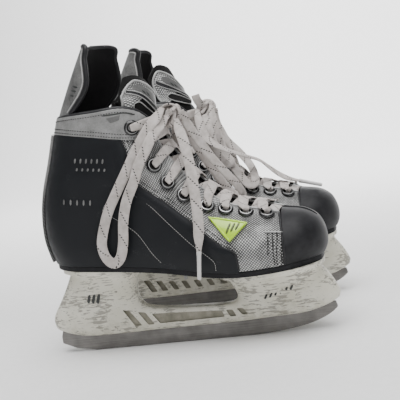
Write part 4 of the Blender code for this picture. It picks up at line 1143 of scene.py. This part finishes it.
def build_collar(skate, s, word):
    """Collar band, its stitching and the roll on its edge."""
    low = Line(BAND_LOW)
    rows = patch(low.point, lambda t: COLLAR.point(t * 0.985), back_from(BAND_Z, COLLAR_Z),
                 straight(low.point(1), COLLAR.point(0.985)), 34, 10, lambda t: 0.2 * t + 0.8 * ease_in(t))
    obj = skate.add(f"collar_band_{word}", panel(one_side(rows, s), 1.5, 0.05), "collar", round_mm=0.4,
                    stands_for=["collar_band"])
    for name, points, count in (("low_a", shifted(BAND_LOW, 1.6), 60),
                                ("low_b", shifted(BAND_LOW, 4.2), 60),
                                ("top", shifted(COLLAR_TOP[:5], -2.6), 44)):
        row = stitches(track(points, s, 1.55, count), 2.1, 1.2, 0.3)
        skate.add(f"collar_stitch_{name}_{word}", row, "thread")
    roll = track([COLLAR.point(k / 30) for k in range(30)], s, -0.6, 60)
    skate.add(f"collar_roll_{word}", bead(roll, 2.1, 1.0, 10), "binding")


def build_facing(skate, s, word):
    """The strip that holds the eyelets, and the binding on its edge."""
    spots = [CREST.nearest(x, z)[1] for x, z in EYELETS]
    start, end = spots[0] + 0.018, spots[-1] - 0.021
    outer, inner = [], []
    for k in range(56):
        share = start + (end - start) * k / 55
        reach = ramp(share, [spots[8], spots[6], spots[5], spots[4]], [11.5, 11.5, 12, 12.5])
        line_out, line_in = [], []
        ends = smooth(min(k, 55 - k) / 4)
        for q in range(9):
            d = 3.2 + (reach - 3.2) * (q / 8) ** 1.6
            x, _, z = crest_point(share, 0, d)
            line_out.append(skin(x, z, s, 0.15 + 0.95 * ends * (1 - smooth((q - 4) / 4))))
            line_in.append(skin(x, z, s, 0.05))
        outer.append(line_out)
        inner.append(line_in)
    verts, faces, _, second = slab(outer, inner)
    obj = skate.add(f"facing_{word}", (verts, faces, side_uv(verts), second), "mesh", round_mm=0.3,
                    stands_for=[f"eyelets_{word}"])
    edge = track([throat(k / 40) for k in range(41)], s, 0.5, 80)
    skate.add(f"throat_binding_{word}", bead(edge, 1.0, 1.0, 8), "piping")


def build_eyelets(skate, s, word):
    cups, rims = [], []
    for x, z in EYELETS:
        base, n = skin(x, z, s, 1.25), skin_normal(x, z, s)
        cups.append(lathe(base, n, [(0.05, -0.6), (2.5, -0.5), (2.75, 0.5), (3.2, 1.25), (4.1, 1.6),
                                    (5.2, 1.3), (5.9, 0.5), (5.9, -0.3), (0.05, -0.9)]))
        # a thin silver ring inside each cup, a painted highlight for the bright reflected arc
        rims.append(lathe(base, n, [(4.0, 1.3), (4.3, 1.72), (4.65, 1.68), (4.9, 1.2)]))
    obj = skate.add(f"eyelet_rings_{word}", join(cups), "eyelet")
    obj = skate.add(f"eyelet_rims_{word}", join(rims), "rim")


def build_edge(skate, s, word):
    """Piping and stitching along the side panel's edge, and its two curved seams."""
    for gap in (1.4, 3.9):
        row = stitches(track(shifted(BLACK_EDGE[1:], -gap), s, 0.15, 90), 2.3, 1.4, 0.3)
        skate.add(f"edge_stitch_{int(gap)}_{word}", row, "thread")
    skate.add(f"edge_piping_{word}", bead(track(BLACK_EDGE, s, 0.6, 90), 0.75), "binding")
    skate.add(f"seam_one_{word}", stitches(track(SEAM_ONE, s, 1.5, 60), 1.9, 1.5, 0.22), "thread_pale")
    skate.add(f"seam_two_{word}", stitches(track(SEAM_TWO, s, 1.5, 60), 1.9, 1.5, 0.2), "thread_pale")


def build_toe_seam(skate, s, word):
    for x0, x1 in ((88.8, 87.6), (92.4, 91.0), (95.4, 92.6), (98.6, 96.0)):
        foot = 69.0 if x0 < 90 else 60.5
        row = stitches(track([(x0, 84), (x0 - 0.3, 77), (x1, foot)], s, 0.35, 16), 2.4, 1.6, 0.5)
        skate.add(f"toe_stitch_{int(x0)}_{word}", row, "thread")
    welt = track([(86.5, 85.2), (92, 84.2), (99.6, 83)], s, 0.5, 12)
    skate.add(f"toe_welt_{word}", bead(welt, 0.7, 0.8), "piping")
    joint = track([seam(k / 24) for k in range(25)], s, 0.2, 40)
    skate.add(f"toe_joint_{word}", bead(joint, 0.8, 0.9, 8), "binding")


def build_marks(skate):
    """Worn printed bars on the side panel, and the collar's slit and small tab."""
    bars = []
    for x0, z0, count, pitch, tall in ((-50, 155.5, 6, 4.4, 3.6), (-49.5, 149.5, 6, 4.4, 2.2),
                                       (-64.5, 125.5, 5, 5.2, 4.2)):
        for k in range(count):
            x, z = x0 + pitch * k, z0 - 0.16 * pitch * k
            bars.append(bead(track([(x, z), (x + 1.0, z + tall)], 1, 2.2, 4), 0.75, 0.3, 6))
    skate.add("panel_bars", join(bars), "mark_pale")
    slit = track([(-22.5, 187.8), (-14.5, 187.6), (-5.9, 187.4), (0.2, 184.7)], 1, 1.5, 16)
    skate.add("collar_slit", bead(slit, 0.6, 0.5), "mark")
    a, b, c, d = (-17, 181.6), (-10.3, 182.8), (-19.5, 185.4), (-9.2, 186.8)
    tab = patch(straight(a, b), straight(c, d), straight(a, c), straight(b, d), 4, 4)
    skate.add("collar_tab", panel(one_side(tab, 1), 2.0, 1.0), "plate", round_mm=0.3)


def build_badge(skate):
    """Lime triangle with a raised rim and three slanted bars."""
    a, b, c = BADGE
    rows, n = [], 9
    for j in range(n + 1):
        rows.append([(*straight(straight(c, b)(u), straight(a, b)(u))(j / n), 1)
                     for u in (0.985 * i / n for i in range(n + 1))])
    obj = skate.add("badge", panel(rows, 2.0, 0.6), "lime", stands_for=["badge"], round_mm=0.5)
    middle = (sum(p[0] for p in BADGE) / 3, sum(p[1] for p in BADGE) / 3)
    ring = []
    for p, q in ((a, b), (b, c), (c, a)):
        ring += [straight(straight(p, q)(k / 8), middle)(0.1) for k in range(8)]
    path = [(Vector(skin(x, z, 1, 2.1)), skin_normal(x, z, 1)) for x, z in ring + ring[:1]]
    skate.add("badge_rim", bead(path, 0.85, 0.7), "lime")
    bars = []
    for k in range(3):
        x = 60.6 + 3.4 * k
        ends = [(x - 1.6, 87.2 + 0.8 * k), (x + 1.4, 93.6 - 0.4 * k)]
        bars.append(bead(track(ends, 1, 2.1, 6), 0.8, 0.5))
    skate.add("badge_bars", join(bars), "lime_dark")


def build_lining(skate):
    left = back_from(98, 190.9)
    low = straight((left(0)[0], 98.0), (-34, 96.0))
    high = lambda t: (left(1)[0] + (-24 - left(1)[0]) * t, 190.9 + 0.6 * sin(pi * t))
    right = lambda t: (-34 + 10 * t + 3 * sin(pi * t), 96.0 + 94.9 * t)
    rows = wrap(patch(low, high, left, right, 20, 18, lambda t: 0.4 * t + 0.6 * ease_in(t)))

    def inside(x, z, s):
        """Quilted swell between two soft channels."""
        return -8.3 + 1.2 * smooth((z - 150) / 14) * (1 - smooth((z - 182) / 8))

    obj = skate.add("lining", panel(rows, -3.1, inside), "lining",
                    stands_for=["liner"], round_mm=1.2)
    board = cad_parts[f"{skate.name}_insole_board"]
    board.data.materials.clear()
    board.data.materials.append(LOOKS["board"])


def build_guard(skate):
    left = back_from(191.8, 243.2)
    edge, crown = Line(GUARD_FRONT), Line(GUARD_TOP)

    def half(shift):
        right = lambda t: (edge.point(t)[0] + shift, edge.point(t)[1])
        base = straight((left(0)[0], 191.8), (right(0)[0], 192.6))
        top = lambda t: (crown.point(t)[0] + shift * t, crown.point(t)[1])
        return patch(base, top, left, right, 18, 26, ease_in)

    obj = skate.add("tendon_guard", panel(wrap(half(0.0), half(GUARD_MEDIAL_SHIFT)), 0.0, -3.2), "guard",
                    "lining", body="guard", stands_for=["tendon_guard"], round_mm=0.7)
    for s, shift, word in ((1, 0.0, "outer"), (-1, GUARD_MEDIAL_SHIFT, "inner")):
        front = [(x + shift, z) for x, z in GUARD_FRONT]
        over = [(x + shift * k / 3, z) for k, (x, z) in reversed(list(enumerate(GUARD_TOP)))]
        line = front + over[1:]
        path = track(line, s, -1.2, 70)
        skate.add(f"guard_binding_{word}", bead(path, 2.0, 1.0, 10), "binding", body="guard")
        path = track(shifted(line[:-1], 2.6), s, 0.15, 60)
        skate.add(f"guard_piping_{word}", bead(path, 0.55, 0.8), "piping", body="guard")
    slits = []
    for x0, z0, x1, z1 in ((-44.4, 213.9, -38.9, 212), (-46.1, 210.9, -40.7, 209.3),
                           (-47.7, 207.5, -43.5, 206.2)):
        slits.append(bead(track([(x0, z0), (x1, z1)], 1, 0.1, 5), 0.75, 0.5))
    skate.add("guard_slits", join(slits), "mark", body="guard")


def tongue_front(name, v, h, off=0.0):
    """A point in front of the tongue: v across it and h above its fold, moved out by off."""
    top = Line(TONGUE_TOP[name])
    (cx, cz), (tx, tz) = top.at(max(h, 0.0) / top.lengths[-1])
    tx *= smooth(h / 20)
    tz = sqrt(1 - tx * tx)
    d = 2.3 + 0.035 * v * v - off
    upper = Vector((cx - tz * d, v, cz + tx * d + min(h, 0.0)))
    if h >= 0:
        return upper
    share = FOLD_SHARE + h / CREST.lengths[-1]
    fold = 0.045 * smooth((FOLD_SHARE - share) * 6) * max(abs(v) - 14, 0.0) ** 2
    lower = Vector(crest_point(share, v, 2.5 + 0.036 * v * v + fold - off))
    return lower.lerp(upper, smooth((h + 8) / 8))


FOLD_SHARE = CREST.nearest(11.5, 190.2)[1]


def tongue_normal(name, v, h):
    a = tongue_front(name, v + 0.5, h) - tongue_front(name, v - 0.5, h)
    b = tongue_front(name, v, h + 0.5) - tongue_front(name, v, h - 0.5)
    return a.cross(b).normalized()


def build_tongue(skate):
    name = skate.name
    edge = TONGUE_EDGE[name]
    low = (CREST.nearest(91, 101)[1] - FOLD_SHARE) * CREST.lengths[-1]
    outer, inner = [], []
    rows = [low * (1 - k / 30) for k in range(30)] + [0.0] + [k / 18 for k in range(1, 19)]
    for k, level in enumerate(rows):
        front, back = [], []
        half = TONGUE_HALF if k >= 30 else 19.5 + 7 * smooth(1.25 * k / 30 - 0.15)
        for j in range(29):
            v = half * (j / 14 - 1)
            h = level * ramp(v, *edge) if k > 30 else level
            p, n = tongue_front(name, v, h), tongue_normal(name, v, h)
            thick = 4.2 + 1.8 * k / 48
            front.append(tuple(p))
            back.append(tuple(p - n * thick))
        outer.append(front)
        inner.append(back)
    obj = skate.add("tongue", slab(outer, inner), "felt", body=None, round_mm=1.0,
                    stands_for=["tongue_lower", "tongue_upper"])
    soften(skate, obj)


def build_tongue_panel(skate):
    name, face = skate.name, FACE[skate.name]
    outline = Line([(face * v, h) for v, h in PANEL_EDGE[name]], 8)
    shapes = fill_outline(name, [(x, h) for x, h in outline.points], 0.9)
    panel_obj = skate.add("tongue_panel", shapes, "mesh", body=None)
    soften(skate, panel_obj)
    pipe = [(tongue_front(name, v, h, 1.1), tongue_normal(name, v, h)) for v, h in outline.points]
    soften(skate, skate.add("tongue_piping", bead(pipe, 0.95), "piping", body=None))


def build_tongue_marks(skate):
    """The label, the dark band and the drop on the panel, with bars for the mark."""
    name, face, up = skate.name, FACE[skate.name], LIFT[skate.name]
    marks = [("tongue_label", [(16.5, 19), (14.5, 21.3), (10.5, 18.6), (6.5, 13.5), (1, 8),
                               (-4, 3.5), (-4, -3), (1, 0), (7, 5), (12.5, 12)], "plate", 1.3),
             ("tongue_band", [(19.5, 21.5), (18, 18.2), (12.8, 10.5), (7, 3), (0.5, -2), (-4, -5),
                              (-4, -9), (0.5, -6.5), (7, -1), (13.5, 6.5), (18.5, 13.5),
             (20.5, 18)], "binding", 1.5), ("tongue_drop", [(18.2, 2.5), (15.2, 3.2), (11, -1.5),
                              (5, -6.5), (-2, -10), (3, -12), (10, -10.5), (16, -7.5),
                              (18.6, -2.5)], "felt", 1.4)]
    for piece, points, look, off in marks:
        ring = Line([(face * v, h + up) for v, h in points + points[:1]], 6).points
        soften(skate, skate.add(piece, fill_outline(name, ring, off), look, body=None))
        if piece != "tongue_label":
            pipe = [(tongue_front(name, v, h, off + 0.1), tongue_normal(name, v, h))
                    for v, h in ring]
            soften(skate, skate.add(f"{piece}_piping", bead(pipe, 0.45), "piping", body=None))
    bars = []
    for k in range(2):
        v, h = 10.6 - 2.6 * k, 11.5 - 2.6 * k + up
        n = tongue_normal(name, face * v, h)
        pts = [(tongue_front(name, face * (v + 0.8 * t), h + 2.0 * t, 1.5), n) for t in (-1, 0, 1)]
        bars.append(bead(pts, 0.7, 0.5))
    soften(skate, skate.add("tongue_bars", join(bars), "mark", body=None))


def fill_outline(name, ring, off):
    """A thin patch on the tongue inside a closed outline, as rings shrinking to its middle."""
    mv = sum(p[0] for p in ring) / len(ring)
    mh = sum(p[1] for p in ring) / len(ring)
    verts, faces, uvs = [], [], []
    steps = 8
    for k in range(steps):
        f = k / steps
        for v, h in ring:
            a, b = v + (mv - v) * f, h + (mh - h) * f
            verts.append(tuple(tongue_front(name, a, b, off if k else 0.1)))
            uvs.append((a, b))
        if k == 0:
            for v, h in ring:
                verts.append(tuple(tongue_front(name, v, h, off)))
                uvs.append((v, h))
    n = len(ring)
    for k in range(steps):
        for i in range(n):
            j = (i + 1) % n
            faces.append((k * n + i, k * n + j, (k + 1) * n + j, (k + 1) * n + i))
    verts.append(tuple(tongue_front(name, mv, mh, off)))
    uvs.append((mv, mh))
    for i in range(n):
        faces.append((steps * n + i, steps * n + (i + 1) % n, len(verts) - 1))
    return verts, faces, uvs, set()


def soften(skate, obj):
    """Bakes the piece's placement into its mesh."""
    skate.world((9, 0, 184))
    skate.world((9, 0, 197))
    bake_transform(obj)


# ---------------------------------------------------------------- sole, holder and runner

def build_outsole(skate):
    outline = []
    count = 60
    for k in range(count + 1):
        t = (1 - cos(pi * k / count)) / 2
        x = -91.2 + 214.0 * t
        w = 0.0 if k in (0, count) else max(half_width(x, upper_z(x)) + 0.5, 0.5)
        outline.append((x, w))
    top, bottom = [], []
    for x, w in outline:
        z = sole_z(x)
        top.append([(x, w * c, z + SOLE - 0.1) for c in (1, 0.97, 0.5, 0, -0.5, -0.97, -1)])
        bottom.append([(x, w * c * 0.985, z) for c in (1, 0.97, 0.5, 0, -0.5, -0.97, -1)])
    obj = skate.add("outsole", slab(top, bottom), "sole", stands_for=["outsole"], round_mm=0.9)


def build_holder(skate):
    """The holder lofted through its stations, with its pockets cut and its edges rounded; the pocket walls
    take a darker look, painted shade.
    """
    body = resample([(*a, *b, c, d) for a, b, c, d, drop in HOLDER if drop is None], 3)
    rings = [station(*HOLDER[0]), station(*HOLDER[1])]
    rings += [station(st[0:2], st[2:4], st[4], st[5], None) for st in body]
    rings += [station(*HOLDER[-2]), station(*HOLDER[-1])]
    holder = skate.add("holder", tube(rings), "holder", "pocket", stands_for=["blade_holder"], sharp=40)
    shapes = []
    for quads, sign in ((POCKETS_OUT, 1), (POCKETS_IN, -1)):
        for quad in quads:
            shapes.append(prism(rounded(quad, 1.1), sign * 4.7, sign * 22))
    # the cutter carries the darker pocket look, painted shade, onto the pocket walls it cuts
    tool = skate.add("pocket_tool", join(shapes), "pocket")
    cut = holder.modifiers.new("pockets", "BOOLEAN")
    cut.operation = "DIFFERENCE"
    cut.solver = "EXACT"
    cut.material_mode = "TRANSFER"
    cut.object = tool
    bake(holder)
    bpy.data.objects.remove(tool)
    holder.data.set_sharp_from_angle(angle=radians(35))
    soft = holder.modifiers.new("rounded", "BEVEL")
    soft.width, soft.segments, soft.limit_method, soft.angle_limit = 0.5 * MM, 2, "ANGLE", radians(50)


def build_runner(skate):
    outline = RUNNER_LOW[:4] + resample(RUNNER_LOW[5:], 4) + RUNNER_HIGH
    shape = prism(rounded(outline, 0.8), -RUNNER_HALF, RUNNER_HALF)
    obj = skate.add("runner", shape, "steel", stands_for=["runner"], round_mm=0.25)


def build_holder_marks(skate):
    """Plain slanted bars on the two towers: first bar's ends, step, count and radius."""
    bars = []
    for low, high, (dx, dz), count, radius in (
            ((-69.5, 41), (-65.5, 51.5), (3.9, -0.5), 3, 1.25),
            ((74.0, 29.4), (76.6, 33.2), (4.2, 1.1), 6, 0.8)):
        for k in range(count):
            ends = [(x + dx * k, z + dz * k) for x, z in (low, high)]
            bars.append(holder_bar(ends, radius))
    skate.add("holder_marks", join(bars), "mark")


def station(outer, inner, thick, power, drop, sides=56):
    """One ring of the holder: a squarish section, or the flange's outline under the sole."""
    ring = []
    for k in range(sides):
        a = 2 * pi * (k + 0.5) / sides
        c = abs(cos(a)) ** (2 / power) * (1 if cos(a) >= 0 else -1)
        s = abs(sin(a)) ** (2 / power) * (1 if sin(a) >= 0 else -1)
        x = (outer[0] + inner[0]) / 2 + (outer[0] - inner[0]) / 2 * c
        z = (outer[1] + inner[1]) / 2 + (outer[1] - inner[1]) / 2 * c
        if drop is not None:
            z = sole_z(x) - 0.1 - max(drop, 0.0)
            s *= ramp(x, [-82, -18, 42, 120.5], [0.95, 1.0, 0.94, 1.0])
        ring.append((x, thick * s, z))
    return ring


def rounded(outline, radius):
    """The same closed outline with its corners cut round."""
    out = []
    n = len(outline)
    for k in range(n):
        p, q, r = (Vector(outline[(k + d) % n]) for d in (-1, 0, 1))
        a = min(radius, (p - q).length * 0.4)
        b = min(radius, (r - q).length * 0.4)
        start, end = q + (p - q).normalized() * a, q + (r - q).normalized() * b
        for t in (0.0, 0.35, 0.65, 1.0):
            out.append(tuple(start.lerp(q, t).lerp(q.lerp(end, t), t)))
    return out


def holder_bar(points, radius):
    """A short raised bar on the outer face of a tower, at the depth that the tower has there."""
    path = []
    for k in range(7):
        x, z = straight(*points)(k / 6)
        path.append((Vector((x, tower_half(x, z) + 0.1, z)), Vector((0, 1, 0))))
    return bead(path, radius, 0.35)


def tower_half(x, z):
    """Half thickness of the holder at a point of its side view, by the station line nearest to it."""
    best = None
    for a, b, thick, power, drop in HOLDER:
        if drop is not None:
            continue
        dx, dz = b[0] - a[0], b[1] - a[1]
        span = dx * dx + dz * dz
        f = min(max(((x - a[0]) * dx + (z - a[1]) * dz) / span, 0.02), 0.98)
        d = hypot(x - a[0] - dx * f, z - a[1] - dz * f)
        w = thick * (1 - abs(2 * f - 1) ** power) ** (1 / power)
        if best is None or d < best[0]:
            best = (d, w)
    return best[1]


def bake(obj):
    """Apply the piece's modifiers to its mesh."""
    shaped = bpy.data.meshes.new_from_object(obj.evaluated_get(bpy.context.evaluated_depsgraph_get()))
    obj.modifiers.clear()
    obj.data = shaped


build_stage()
skates = [Skate("right", -1), Skate("left", 1)]
for one in skates:
    build_free_laces(one)
for one in skates:
    for build in (build_lace, build_knot, build_wall, build_rear_panel, build_backstay, build_toe_cap,
                  build_trim, build_badge, build_marks, build_lining, build_guard, build_tongue,
                  build_tongue_panel, build_tongue_marks, build_outsole, build_holder, build_runner,
                  build_holder_marks):
        build(one)

bpy.context.view_layer.update()
